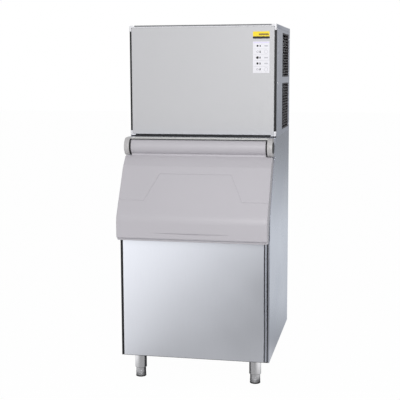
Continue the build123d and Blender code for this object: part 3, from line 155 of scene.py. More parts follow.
class IceMachineStage(bpy.types.PropertyGroup):
    """The studio: camera, lamps, floor and background."""
    camera_place: FloatVectorProperty(
        name="Camera place", description="Where the camera stands", subtype="TRANSLATION",
        unit="LENGTH", precision=5, default=(0.93053942, -4.81164959, 1.57956284))
    camera_turn: FloatVectorProperty(
        name="Camera turn", description="How the camera is turned", subtype="EULER",
        precision=5, default=tuple(math.radians(turn) for turn in (81.97832295, 0.18701265, 11.45491136)))
    camera_lens: FloatProperty(
        name="Lens", description="Focal length for a sensor 36 mm wide", default=83.135, min=10.0)
    sky_level: level_field("Sky level", "Strength of the soft light from all round", 0.40)
    key_place: FloatVectorProperty(
        name="Key lamp place", description="Where the large lamp in front hangs", subtype="TRANSLATION",
        unit="LENGTH", default=(1.0, -4.5, 2.6))
    key_power: FloatProperty(
        name="Key lamp power", description="Power of the large lamp in front", unit="POWER",
        default=118.0, min=0.0)
    floor_colour: colour_field("Floor colour", "Colour of the pale floor", (0.80, 0.80, 0.81))
    floor_show: FloatProperty(
        name="Plain floor share", description="How much of the floor seen by the camera is plain white",
        default=0.985, min=0.0, max=1.0)
    mirror_left: level_field(
        "Floor mirrored on the left", "Floor brightness seen in metal, 1.6 m to the left", 1.5)
    mirror_right: level_field(
        "Floor mirrored on the right", "Floor brightness seen in metal, right of the middle", 0.19)
    mirror_far: level_field("Sky mirrored", "Brightness of the far surroundings seen in metal", 0.60)


class IceMachineColours(bpy.types.PropertyGroup):
    """The colours of the main coatings."""
    head_panel: colour_field("Head panel", "Coating on the head's front", srgb(198, 198, 200))
    door_plastic: colour_field("Door plastic", "Moulded door and its roll", srgb(189, 186, 191))
    hood_plastic: colour_field("Hood plastic", "Strip over the roll", srgb(226, 226, 223))
    steel: colour_field("Front steel", "Brushed stainless sheet of the bin's front", (0.80, 0.82, 0.88))
    side_steel: colour_field("Side steel", "Brushed stainless sheet of the sides", (0.585, 0.61, 0.69))
    plate_yellow: colour_field("Plate yellow", "Field of the small plate at the top right",
                               srgb(250, 222, 18))


class IceMachinePlates(bpy.types.PropertyGroup):
    """The small plates on the head's front."""
    rows: IntProperty(
        name="Rows", description="Rows of marks on the white plate", default=5, min=1, max=8)
    first_row: length_field("First row", "From the white plate's top to its first row", 22 * MM)
    row_pitch: length_field("Row pitch", "From one row to the next", 29 * MM)
    mark_thick: length_field("Mark thickness", "How far a mark stands off its plate", 0.25 * MM)
    bar_height: length_field("Bar height", "Height of the black bar on the yellow plate", 10 * MM)
    band_height: length_field("Band height", "Height of the pale band at the white plate's top", 9 * MM)


class IceMachineHardware(bpy.types.PropertyGroup):
    """Fasteners and small turned pieces."""
    edge_round: length_field("Sheet edge", "Rounding of the sheet metal's edges", 0.5 * MM)
    screw_radius: length_field("Screw head radius", "Radius of the casing's screw heads", 4.0 * MM)
    screw_height: length_field("Screw head height", "Height of the casing's screw heads", 1.6 * MM)
    pad_height: length_field("Foot pad height", "Height of the dark rim round each foot", 6.5 * MM)
    ring_count: IntProperty(
        name="Foot rings", description="Turned rings low on each foot", default=3, min=1, max=3)
    ring_height: length_field("Foot ring height", "Height of a ring on a foot", 2.4 * MM)
    ring_pitch: length_field("Foot ring pitch", "From one ring on a foot to the next", 4.5 * MM)
    # Painted shadow: thickness of the dark rings in the gap at the door roll's ends
    gap_shadow_thick: length_field("Roll washer thickness", "Dark washers at the door roll's ends", 5.0 * MM)
    # Painted shadow: thickness of the dark strip along the hood's lip
    shadow_strip_thick: length_field("Wiper thickness", "Rubber edge along the hood's lip", 2.4 * MM)


# Modelling helpers

def clear_selection():
    """Leave edit mode and deselect every object."""
    if bpy.context.object and bpy.context.object.mode != "OBJECT":
        bpy.ops.object.mode_set(mode="OBJECT")
    bpy.ops.object.select_all(action="DESELECT")


def hold(piece):
    """Make one piece the only selected and active one."""
    clear_selection()
    piece.select_set(True)
    bpy.context.view_layer.objects.active = piece


def smooth(piece, angle=SMOOTH_ANGLE):
    """Shade a finished piece smooth where it has no sharp edge."""
    hold(piece)
    bpy.ops.object.shade_smooth_by_angle(angle=angle)
    clear_selection()


def new_object(name, data):
    """A new object in the scene."""
    made = bpy.data.objects.new(name, data)
    bpy.context.scene.collection.objects.link(made)
    return made


def open_piece(name):
    """A new empty piece at the origin, open in edit mode."""
    piece = new_object(name, bpy.data.meshes.new(name))
    hold(piece)
    bpy.ops.object.mode_set(mode="EDIT")
    return piece


def add_block(low, high):
    """A block between two corners, in the piece that is open."""
    low = Vector(low)
    high = Vector(high)
    bpy.ops.mesh.primitive_cube_add(size=1, location=(low + high) / 2, scale=high - low)


def add_disc(centre, radius, depth, turn=(0, 0, 0), sides=32):
    """A closed round bar about its centre, in the piece that is open."""
    bpy.ops.mesh.primitive_cylinder_add(vertices=sides, radius=radius, depth=depth,
                                        location=centre, rotation=turn)


def pick(piece, kind, test):
    """Select the faces or the edges that pass a test, in the piece that is open."""
    bpy.ops.mesh.select_mode(type=kind)
    bpy.ops.mesh.select_all(action="DESELECT")
    shape = bmesh.from_edit_mesh(piece.data)
    for part in shape.faces if kind == "FACE" else shape.edges:
        if test(part):
            part.select_set(True)
    bmesh.update_edit_mesh(piece.data)


def close_piece(piece):
    """Leave edit mode, face all outwards and smooth what is not a sharp edge."""
    bpy.ops.mesh.select_all(action="SELECT")
    bpy.ops.mesh.normals_make_consistent(inside=False)
    bpy.ops.object.mode_set(mode="OBJECT")
    smooth(piece)


def round_edges(piece, width, segments=2):
    """Round the sharp edges of a finished piece."""
    hold(piece)
    bevel = piece.modifiers.new("Rounded edges", "BEVEL")
    bevel.width = width
    bevel.segments = segments
    bevel.limit_method = "ANGLE"
    bevel.angle_limit = SHARP_ANGLE
    bpy.ops.object.modifier_apply(modifier=bevel.name)
    smooth(piece, SHARP_ANGLE)


def place_on(piece, body, finish):
    """Give a new piece its finish and the body it rides on."""
    piece.data.materials.clear()
    piece.data.materials.append(MATERIALS[finish])
    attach(piece, body)


def finish_piece(piece, body, finish, edge=0.0, segments=2):
    """Close a new piece, round its edges where a width is given, and place it."""
    close_piece(piece)
    if edge:
        round_edges(piece, edge, segments)
    place_on(piece, body, finish)


def formed_copy(node, name):
    """A clean copy of a solid, with its flat faces whole again, that stands for it."""
    piece = new_object(name, NODES[node].data.copy())
    hold(piece)
    bpy.ops.object.mode_set(mode="EDIT")
    bpy.ops.mesh.select_all(action="SELECT")
    bpy.ops.mesh.remove_doubles(threshold=MERGE)
    bpy.ops.mesh.dissolve_limited(angle_limit=FLAT_ANGLE)
    bpy.ops.object.mode_set(mode="OBJECT")
    # Painted shade: the hinge caps take a darker copy of their slot's plastic
    place_on(piece, BODIES[node], SHADED_TONE.get(node, SLOTS[node]))
    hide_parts(node)
    return piece


def add_plaque(piece, low, high, radius):
    """A thin plate on the head's front with rounded corners, in the piece that is open."""
    add_block(low, high)
    shape = bmesh.from_edit_mesh(piece.data)
    fresh = {edge.index for edge in shape.edges if edge.select}
    pick(piece, "EDGE", lambda edge: edge.index in fresh and abs(
        (edge.verts[1].co - edge.verts[0].co).normalized().y) > 0.99)
    bpy.ops.mesh.bevel(offset=radius, segments=5, affect="EDGES")


def add_ring(piece, centre, radius, hole, depth, turn=(0, 0, 0), sides=48):
    """A closed flat ring about its centre, in the piece that is open."""
    add_disc(centre, radius, depth, turn, sides)
    shape = bmesh.from_edit_mesh(piece.data)
    caps = {face.index for face in shape.faces if face.select and len(face.verts) == sides}
    pick(piece, "FACE", lambda face: face.index in caps)
    bpy.ops.mesh.inset(thickness=radius - hole)
    bpy.ops.mesh.bridge_edge_loops()


def rim_of(node, axis):
    """Centre and radius of the round rim that a solid ends in, along an axis."""
    points = [vertex.co.copy() for vertex in NODES[node].data.vertices]
    limit = max(point[axis] for point in points)
    rim = [point for point in points if limit - point[axis] < MERGE]
    low = Vector([min(point[way] for point in rim) for way in range(3)])
    high = Vector([max(point[way] for point in rim) for way in range(3)])
    size = high - low
    size[axis] = 0
    return (low + high) / 2, max(size) / 2


def copies(master, name, places):
    """One piece of many copies of a master, each turned to face a direction."""
    made = []
    for place, facing in places:
        copy = new_object(name, master.data.copy())
        turn = Vector(facing).to_track_quat("Z", "Y").to_matrix().to_4x4()
        copy.data.transform(Matrix.Translation(place) @ turn)
        made.append(copy)
    hold(made[0])
    for copy in made:
        copy.select_set(True)
    bpy.ops.object.join()
    clear_selection()
    made[0].name = name
    return made[0]


def drop(piece):
    """Take away a piece that was only a master or a cutter."""
    bpy.data.meshes.remove(piece.data)


# Shader node helpers

def feed(tree, socket, value):
    """Give an input a plain value, or link an output to it."""
    if isinstance(value, bpy.types.NodeSocket):
        tree.links.new(value, socket)
    else:
        socket.default_value = value


def add_node(tree, kind, inputs=None, **values):
    """A node with its properties set, and its inputs given a value or a link."""
    node = tree.nodes.new(kind)
    for label, value in values.items():
        setattr(node, label, value)
    for label, value in (inputs or {}).items():
        feed(tree, node.inputs[label], value)
    return node


def new_group(name, inputs, outputs):
    """An empty shader group with named sockets, its inner start and its inner end."""
    group = bpy.data.node_groups.new(name, "ShaderNodeTree")
    for label, value in inputs.items():
        kind = "NodeSocketVector" if isinstance(value, tuple) else "NodeSocketFloat"
        group.interface.new_socket(name=label, in_out="INPUT", socket_type=kind).default_value = value
    for label in outputs:
        group.interface.new_socket(name=label, in_out="OUTPUT", socket_type="NodeSocketFloat")
    return group, group.nodes.new("NodeGroupInput").outputs, group.nodes.new("NodeGroupOutput").inputs


def noise(tree, vector, scale, detail, roughness):
    """A noise texture fed by a vector."""
    return add_node(tree, "ShaderNodeTexNoise", {"Vector": vector, "Scale": scale, "Detail": detail,
                                                 "Roughness": roughness}).outputs["Fac"]


def stretch_range(tree, value, start, stop, low, high, way="SMOOTHSTEP"):
    """A value carried from one range to another, and held at its ends."""
    return add_node(tree, "ShaderNodeMapRange", {
        "Value": value, "From Min": start, "From Max": stop, "To Min": low, "To Max": high,
    }, interpolation_type=way).outputs["Result"]


def combine(tree, operation, first, second, clamp=False):
    """Two numbers joined by a calculation."""
    return add_node(tree, "ShaderNodeMath", {0: first, 1: second}, operation=operation,
                    use_clamp=clamp).outputs["Value"]


def mix_tones(tree, factor, first, second):
    """Two colours mixed by a share."""
    return add_node(tree, "ShaderNodeMix", {"Factor": factor, "A": first, "B": second},
                    data_type="RGBA").outputs["Result"]


def mix_shaders(tree, factor, first, second):
    """Two shaders mixed by a share."""
    return add_node(tree, "ShaderNodeMixShader", {"Fac": factor, 1: first, 2: second}).outputs["Shader"]


def ray_sum(tree, *labels):
    """One where the ray is of any of the named kinds."""
    path = add_node(tree, "ShaderNodeLightPath").outputs
    total = path[labels[0]]
    for label in labels[1:]:
        total = combine(tree, "MAXIMUM", total, path[label])
    return total


def axes_of(tree, label):
    """The X, Y and Z outputs of a kind of texture coordinates."""
    place = add_node(tree, "ShaderNodeTexCoord").outputs[label]
    return add_node(tree, "ShaderNodeSeparateXYZ", {"Vector": place}).outputs


def brushed_grain():
    """Group: fine lines along one direction, and a slow cloudiness over the sheet."""
    group, start, end = new_group(
        "Brushed grain", {"Vector": (0, 0, 0), "Stretch": (1, 1, 1), "Fineness": 400.0}, ("Lines", "Cloud"))
    stretch = add_node(group, "ShaderNodeVectorMath", {0: start["Vector"], 1: start["Stretch"]},
                       operation="MULTIPLY").outputs["Vector"]
    feed(group, end["Lines"], noise(group, stretch, start["Fineness"], 6.0, 0.62))
    feed(group, end["Cloud"], noise(group, start["Vector"], 2.6, 2.0, 0.45))
    return group


def moulded_skin():
    """Group: the fine pores of a moulded surface, and a slow tone change over it."""
    group, start, end = new_group(
        "Moulded skin", {"Vector": (0, 0, 0), "Fineness": 900.0}, ("Pores", "Cloud"))
    feed(group, end["Pores"], noise(group, start["Vector"], start["Fineness"], 4.0, 0.6))
    feed(group, end["Cloud"], noise(group, start["Vector"], 3.4, 2.0, 0.4))
    return group


def cell_skin():
    """Group: close cells, as in foam or on zinc coated sheet, each with its own tone."""
    group, start, end = new_group(
        "Cell skin", {"Vector": (0, 0, 0), "Fineness": 160.0}, ("Cells", "Height"))
    cells = add_node(group, "ShaderNodeTexVoronoi", {"Vector": start["Vector"], "Scale": start["Fineness"]},
                     feature="F1").outputs
    tone = add_node(group, "ShaderNodeSeparateColor", {"Color": cells["Color"]})
    feed(group, end["Cells"], tone.outputs["Red"])
    feed(group, end["Height"], cells["Distance"])
    return group


GROUPS = {}


def shared_group(maker):
    """The one copy of a shader group."""
    if maker not in GROUPS:
        GROUPS[maker] = maker()
    return GROUPS[maker]


class Finish:
    """A material under construction: its tree, its shader's inputs and its object coordinates."""

    def __init__(self, name, roughness, metallic=0.0):
        self.material = bpy.data.materials.new(name)
        self.material.use_nodes = True
        self.tree = self.material.node_tree
        self.shader = self.tree.nodes["Principled BSDF"].inputs
        self.set("Metallic", metallic)
        self.set("Roughness", roughness)
        self.place = add_node(self.tree, "ShaderNodeTexCoord").outputs["Object"]

    def set(self, label, value):
        """Give one of the shader's inputs a plain value, or link an output to it."""
        feed(self.tree, self.shader[label], value)

    def effect(self, maker, **values):
        """The outputs of a shared group, fed by the object coordinates."""
        return add_node(self.tree, "ShaderNodeGroup", {"Vector": self.place, **values},
                        node_tree=shared_group(maker)).outputs

    def tones(self, factor, colour, change):
        """A colour that varies by a share to both sides of a tone."""
        self.set("Base Color", mix_tones(self.tree, factor, (*shade(colour, 1 - change), 1),
                                         (*shade(colour, 1 + change), 1)))

    def spread(self, value, low, high, start=0.3, stop=0.7):
        """A mask stretched to run from low to high."""
        return stretch_range(self.tree, value, start, stop, low, high, "LINEAR")

    def bump(self, height, distance, strength):
        """Raise the surface by a height map."""
        self.set("Normal", add_node(self.tree, "ShaderNodeBump", {
            "Strength": strength, "Distance": distance, "Height": height}).outputs["Normal"])


def shade(colour, factor):
    """The same colour, lighter or darker."""
    return tuple(min(1.0, part * factor) for part in colour)


# Materials

def steel_finish(name, colour, stretch, rough=(0.28, 0.34), fineness=420.0, change=0.015):
    """Brushed stainless sheet with its grain along one direction."""
    finish = Finish(name, sum(rough) / 2, metallic=1.0)
    grain = finish.effect(brushed_grain, Stretch=stretch, Fineness=fineness)
    finish.tones(finish.spread(grain["Lines"], 0.0, 1.0), colour, change)
    finish.set("Roughness", finish.spread(grain["Cloud"], *rough))
    finish.bump(grain["Lines"], 0.008 * MM, 0.3)
    return finish.material


def plastic_finish(name, colour, rough=(0.38, 0.5), fineness=900.0, depth=0.05, change=0.03, gloss=0.5):
    """Moulded plastic with fine pores and a slow change of tone."""
    finish = Finish(name, sum(rough) / 2)
    skin = finish.effect(moulded_skin, Fineness=fineness)
    finish.tones(finish.spread(skin["Cloud"], 0.0, 1.0), colour, change)
    finish.set("Roughness", finish.spread(skin["Pores"], *rough))
    finish.bump(skin["Pores"], depth * MM, 0.4)
    finish.set("Specular IOR Level", gloss)
    return finish.material


def print_finish(name, colour, rough=(0.3, 0.4), change=0.03, gloss=0.5):
    """Flat print, or the smooth coat of a plate."""
    return plastic_finish(name, colour, rough, 900.0, 0.01, change, gloss)


def cell_finish(name, colour, rough=(0.6, 0.8), fineness=160.0, depth=0.6, metallic=0.0, change=0.08):
    """A surface of close cells, such as foam or zinc spangle."""
    finish = Finish(name, sum(rough) / 2, metallic=metallic)
    skin = finish.effect(cell_skin, Fineness=fineness)
    finish.tones(skin["Cells"], colour, change)
    finish.set("Roughness", finish.spread(skin["Cells"], *rough, start=0.0, stop=1.0))
    finish.bump(skin["Height"], depth * MM, 0.5)
    return finish.material


MATERIALS = {}


def make_materials(colours):
    """Every finish on the machine: the record's slots, and the prints on the plates."""
    steel = tuple(colours.steel)
    side = tuple(colours.side_steel)
    upright = (1.0, 1.0, 0.02)
    along = (0.02, 0.02, 1.0)
    door = tuple(colours.door_plastic)
    hood = tuple(colours.hood_plastic)
    MATERIALS.update({
        "bin_steel": steel_finish("Bin steel", side, upright, (0.24, 0.30)),
        "front_steel": steel_finish("Front steel", steel, upright, (0.30, 0.36)),
        "head_steel": steel_finish("Head steel", shade(side, 0.96), upright, (0.34, 0.42)),
        "leg_steel": steel_finish("Leg steel", (0.72, 0.72, 0.74), along, (0.2, 0.27), 600.0),
        # Painted shade: a darker copy of the leg steel, for the dark lines between the foot's turned rings
        "ring_steel_shaded": steel_finish("Foot rings", (0.34, 0.34, 0.35), along, (0.4, 0.5)),
        "plated_metal": steel_finish("Plated cells", (0.72, 0.73, 0.73), along, (0.22, 0.3), change=0.04),
        "fin_aluminium": steel_finish("Condenser fins", (0.74, 0.75, 0.77), upright, (0.3, 0.42)),
        "switch_steel": steel_finish("Switch lever", (0.7, 0.7, 0.71), along, (0.1, 0.16)),
        "copper": steel_finish("Copper tube", (0.78, 0.42, 0.26), along, (0.24, 0.38), 120.0, 0.08),
        "head_panel": plastic_finish("Head front coating", tuple(colours.head_panel), (0.42, 0.5), 700.0,
                                     0.02, change=0.006),
        "door_plastic": plastic_finish("Door plastic", door, (0.36, 0.46), 800.0, 0.03, change=0.015),
        "hood_plastic": plastic_finish("Hood plastic", hood, (0.36, 0.46), 800.0, 0.03, change=0.012),
        # Painted shade: the hood's plastic made darker for the hinge caps, for the shade on them
        "cap_plastic_shaded": plastic_finish("Cap plastic shaded", srgb(186, 184, 184), (0.34, 0.44), 800.0, 0.03,
                                      change=0.012),
        "corner_plastic": plastic_finish("Corner piece plastic", srgb(232, 232, 235), (0.2, 0.3), 900.0,
                                         0.02, change=0.01),
        "black_plastic": plastic_finish("Black plastic", srgb(20, 20, 22), (0.4, 0.52), change=0.1,
                                        gloss=0.3),
        "grille_black": plastic_finish("Grille plastic", srgb(62, 58, 63), (0.5, 0.62), change=0.08),
        "liner_plastic": plastic_finish("Liner plastic", srgb(232, 236, 240), (0.16, 0.26), 500.0, 0.03),
        "white_plastic": plastic_finish("White plastic", srgb(226, 228, 228), (0.36, 0.5)),
        "clear_plastic": plastic_finish("Curtain plastic", srgb(214, 224, 232), (0.14, 0.24)),
        "yellow_plate": print_finish("Yellow plate", tuple(colours.plate_yellow), (0.24, 0.3), 0.01),
        "white_plate": print_finish("White plate", srgb(236, 235, 240), (0.24, 0.3), 0.008),
        "gasket_rubber": plastic_finish("Gasket rubber", srgb(70, 71, 74), (0.55, 0.7), 600.0, 0.08),
        "hose_rubber": plastic_finish("Hose rubber", srgb(186, 188, 192), (0.42, 0.55), 600.0, 0.06),
        "black_paint": plastic_finish("Black paint", srgb(38, 38, 41), (0.26, 0.38), 320.0, 0.08),
        "foam": cell_finish("Foam", srgb(236, 226, 196)),
        "zinc_sheet": cell_finish("Zinc sheet", (0.56, 0.57, 0.59), (0.34, 0.5), 90.0, 0.01, 1.0),
        "print_black": print_finish("Black print", srgb(10, 10, 12), gloss=0.3),
        "print_grey": print_finish("Grey print", srgb(150, 150, 157)),
        "print_lilac": print_finish("Lilac print", srgb(222, 216, 240)),
        "print_ochre": print_finish("Ochre print", srgb(124, 100, 14)),
        # Painted light: the dark surround's top edge, lighter where light falls on it from above
        "top_strip": print_finish("Top edge painted light", srgb(118, 119, 122), (0.4, 0.5), 0.02),
        "print_pale": print_finish("Pale print", srgb(192, 192, 198)),
        "print_line": print_finish("Row line print", srgb(205, 205, 210)),
        "pad_rubber": plastic_finish("Foot pad rubber", srgb(30, 30, 32), (0.5, 0.65), 500.0, 0.06),
    })


def dress(nodes):
    """Give solids the finish of their own slot."""
    for name in nodes:
        data = NODES[name].data
        data.materials.clear()
        data.materials.append(MATERIALS[SLOTS[name]])


# Operators: one for each piece or group of like pieces

class ICEMACHINE_OT_studio(bpy.types.Operator):
    """Set up the camera, the lamps, the white background and the pale floor."""
    bl_idname = "ice_machine.studio"
    bl_label = "Studio"

    def execute(self, context):
        stage = context.scene.ice_machine_stage
        add_camera(stage)
        add_world(stage)
        add_lamp("Key lamp", stage.key_place, stage.key_power)
        add_floor(stage)
        context.scene.view_settings.view_transform = "Standard"
        return {"FINISHED"}


def add_camera(stage):
    """The camera at the photograph's place, turn and lens."""
    lens = bpy.data.cameras.new("Camera")
    lens.sensor_fit = "HORIZONTAL"
    lens.sensor_width = 36.0
    lens.lens = stage.camera_lens
    lens.clip_end = 60.0
    camera = new_object("Camera", lens)
    camera.location = stage.camera_place
    camera.rotation_euler = stage.camera_turn
    bpy.context.scene.camera = camera


def add_world(stage):
    """Soft even light, a plain white background, and a graded surround for metal to mirror."""
    world = bpy.data.worlds.new("Studio light")
    world.use_nodes = True
    tree = world.node_tree
    light = tree.nodes["Background"]
    light.inputs["Color"].default_value = (0.98, 0.985, 1.0, 1)
    light.inputs["Strength"].default_value = stage.sky_level
    white = add_node(tree, "ShaderNodeBackground", {"Color": (1, 1, 1, 1)})
    way = axes_of(tree, "Generated")
    far = stage.mirror_far
    aside = stretch_range(tree, way["X"], -1.0, 1.0, far, -far / 2)
    above = stretch_range(tree, way["Z"], 0.0, 1.0, far, far * 2)
    mirrored = add_node(tree, "ShaderNodeBackground", {
        "Color": (0.97, 0.98, 1.0, 1), "Strength": combine(tree, "ADD", aside, above)})
    lit = mix_shaders(tree, ray_sum(tree, "Is Glossy Ray"), light.outputs["Background"],
                      mirrored.outputs["Background"])
    shown = mix_shaders(tree, ray_sum(tree, "Is Camera Ray", "Is Transmission Ray"), lit,
                        white.outputs["Background"])
    tree.links.new(shown, tree.nodes["World Output"].inputs["Surface"])
    bpy.context.scene.world = world


def add_lamp(name, place, power):
    """A large square lamp that looks at the middle of the machine."""
    lamp = bpy.data.lights.new(name, "AREA")
    lamp.shape = "SQUARE"
    lamp.size = LAMP_SIZE
    lamp.energy = power
    holder = new_object(name, lamp)
    holder.location = place
    aim = Vector((0, 0, CAD_BOX[1][2] / 2)) - Vector(place)
    holder.rotation_euler = aim.to_track_quat("-Z", "Y").to_euler()


def floor_mirror(tree, stage):
    """Painted reflection: how bright the floor glows for glossy rays, in metal: light to dark from left to
    right in front of the machine, a soft band behind it, a painted highlight close beside it for the legs,
    and a painted shadow under it."""
    axes = axes_of(tree, "Object")
    across = axes["X"]
    along = axes["Y"]
    front = stretch_range(tree, across, MIRROR_LEFT_X, MIRROR_RIGHT_X, stage.mirror_left,
                          stage.mirror_right, "LINEAR")
    behind = stretch_range(tree, along, *REAR_START, 0.0, 1.0)
    whole = mix_tones(tree, behind, front, rear_band(tree, along))
    aside = combine(tree, "ABSOLUTE", across, 0.0)
    near = combine(tree, "MULTIPLY", stretch_range(tree, along, *NEAR_FRONT, 0.0, 1.0),
                   stretch_range(tree, along, *NEAR_BACK, 1.0, 0.0))
    whole = mix_tones(tree, near, whole, stretch_range(tree, aside, *NEAR_ASIDE, *NEAR_LEVELS))
    # Painted shadow: the floor under the machine turns dark in metal
    under = combine(tree, "MULTIPLY", stretch_range(tree, aside, *UNDER_ASIDE, 1.0, 0.0),
                    stretch_range(tree, along, *UNDER_FRONT, 0.0, 1.0))
    under = combine(tree, "MULTIPLY", under, stretch_range(tree, along, *UNDER_BACK, 1.0, 0.0))
    return mix_tones(tree, under, whole, (*UNDER_SHADOW_PAINTED, 1))


def rear_band(tree, along):
    """The floor's tone behind the machine, by its distance."""
    band = add_node(tree, "ShaderNodeValToRGB", {"Fac": combine(tree, "DIVIDE", along, REAR_REACH, True)})
    ramp = band.color_ramp
    ramp.interpolation = "EASE"
    first, last = ramp.elements
    first.color = (*REAR_FIRST, 1)
    last.color = (*REAR_LAST, 1)
    for way, level in REAR_STOPS:
        ramp.elements.new(way).color = (*shade(REAR_TINT, level), 1)
    return band.outputs["Color"]


def add_floor(stage):
    """A pale floor that keeps a soft shadow and shows plain white to the camera."""
    floor = open_piece("floor")
    bpy.ops.mesh.primitive_plane_add(size=FLOOR_SIZE, location=(0, FLOOR_SIZE / 4, 0))
    close_piece(floor)
    material = bpy.data.materials.new("Pale floor")
    material.use_nodes = True
    tree = material.node_tree
    shader = tree.nodes["Principled BSDF"]
    shader.inputs["Base Color"].default_value = (*stage.floor_colour, 1)
    shader.inputs["Roughness"].default_value = 0.9
    shader.inputs["Specular IOR Level"].default_value = 0.1
    plain = add_node(tree, "ShaderNodeEmission")
    mirrored = add_node(tree, "ShaderNodeEmission", {"Color": floor_mirror(tree, stage)})
    share = combine(tree, "MULTIPLY", ray_sum(tree, "Is Camera Ray", "Is Transmission Ray"),
                    stage.floor_show)
    shown = mix_shaders(tree, share, shader.outputs["BSDF"], plain.outputs["Emission"])
    # Painted reflection: glossy rays see the floor glow in floor_mirror's tones, with a painted shadow
    # under the machine
    whole = mix_shaders(tree, ray_sum(tree, "Is Glossy Ray"), shown, mirrored.outputs["Emission"])
    tree.links.new(whole, tree.nodes["Material Output"].inputs["Surface"])
    floor.data.materials.append(material)


class ICEMACHINE_OT_bin(bpy.types.Operator):
    """Finish the bin: steel shell, dark surround, lining, foam, hood, legs and feet."""
    bl_idname = "ice_machine.bin"
    bl_label = "Bin"

    def execute(self, context):
        dress([
            "bin_side_left", "bin_side_right", "bin_back", "bin_base", "bin_front_surround",
            "bin_front_panel", "front_corner_trim", "bin_foam", "bin_liner", "mouth_frame",
            "bin_top_deck", "bin_drain", "hood", "hinge_caps", "hinge_pins", "legs",
            "foot_fl", "foot_fr", "foot_bl", "foot_br",
        ])
        return {"FINISHED"}


class ICEMACHINE_OT_door(bpy.types.Operator):
    """Finish the door: its moulded shell, inner plate, foam and gasket."""
    bl_idname = "ice_machine.door"
    bl_label = "Door"

    def execute(self, context):
        dress(["door_shell", "door_liner", "door_foam", "door_gasket"])
        return {"FINISHED"}


class ICEMACHINE_OT_head(bpy.types.Operator):
    """Finish the head's shell: front panel, surround, corner pieces, sides, cover and grilles."""
    bl_idname = "ice_machine.head"
    bl_label = "Head shell"

    def execute(self, context):
        dress([
            "head_base", "head_side_right", "head_side_left", "head_posts", "head_back", "top_cover",
            "front_surround", "front_panel", "corner_blocks", "grille_upper", "grille_lower",
            "name_plate", "status_panel",
        ])
        return {"FINISHED"}


class ICEMACHINE_OT_works(bpy.types.Operator):
    """Finish the works inside the head: ice making side and refrigeration side."""
    bl_idname = "ice_machine.works"
    bl_label = "Works"

    def execute(self, context):
        dress([
            "partition", "evaporator_frame", "evaporator_plate", "evaporator_coil",
            "water_distributor", "ice_curtain", "water_trough", "water_pump", "pump_hose",
            "float_switch", "float_ball", "inlet_valve", "drain_hose", "compressor",
            "compressor_mounts", "condenser", "fan_shroud", "fan_motor", "fan_blade",
            "filter_drier", "refrigerant_lines", "control_box", "mode_lever",
        ])
        return {"FINISHED"}


class ICEMACHINE_OT_sheet_edges(bpy.types.Operator):
    """Give the thin sheets and caps rounded edges, as folded and moulded pieces have."""
    bl_idname = "ice_machine.sheet_edges"
    bl_label = "Sheet edges"

    def execute(self, context):
        width = context.scene.ice_machine_hardware.edge_round
        for node in ("top_cover", "hood", "hinge_caps", "corner_blocks", "front_panel"):
            round_edges(formed_copy(node, node + "_sheet"), width)
        return {"FINISHED"}


class ICEMACHINE_OT_roll_gap_shadow(bpy.types.Operator):
    """Add dark rings between the door's roll and the hinge caps: a painted shadow in the gap there."""
    bl_idname = "ice_machine.roll_washers"
    bl_label = "Roll washers"

    def execute(self, context):
        thick = context.scene.ice_machine_hardware.gap_shadow_thick
        low, high = box_of("hinge_caps")
        radius = (high.z - low.z) / 2 - MM
        middle = (roll_end() + cap_inner_face()) / 2
        gap_shadow_rings = open_piece("roll_washers")
        for side in (-1, 1):
            place = (side * middle, (low.y + high.y) / 2, (low.z + high.z) / 2)
            # Painted shadow: black rings fill the gap between roll and caps, where shade falls
            add_ring(gap_shadow_rings, place, radius, radius - 12 * MM, thick, FLAT_ASIDE)
        finish_piece(gap_shadow_rings, "cabinet", "black_plastic", 0.4 * MM)
        return {"FINISHED"}


def cap_inner_face():
    """How far from the middle the hinge caps' inner faces lie."""
    return min(abs(vertex.co.x) for vertex in NODES["hinge_caps"].data.vertices)


def roll_end():
    """How far from the middle the door's roll reaches."""
    low, high = box_of("hinge_caps")
    axis = Vector((0, (low.y + high.y) / 2, (low.z + high.z) / 2))
    near = [abs(vertex.co.x) for vertex in NODES["door_shell"].data.vertices
            if math.hypot(vertex.co.y - axis.y, vertex.co.z - axis.z) < (high.z - low.z) / 2 - 4 * MM]
    return max(near)


class ICEMACHINE_OT_shadow_strip(bpy.types.Operator):
    """Add a dark strip along the hood's lip: a painted shadow in the gap between hood and roll."""
    bl_idname = "ice_machine.wiper"
    bl_label = "Hood wiper"

    def execute(self, context):
        low, high = box_of("hood")
        half = context.scene.ice_machine_hardware.shadow_strip_thick / 2
        lip = open_piece("hood_shadow_strip")
        # Painted shadow: a dark strip where shade falls between the hood's lip and the roll
        add_block((low.x + MM, low.y - half, low.z - 2.2 * MM),
                  (high.x - MM, low.y + half, low.z + 2.4 * MM))
        finish_piece(lip, "cabinet", "gasket_rubber", 0.4 * MM)
        return {"FINISHED"}


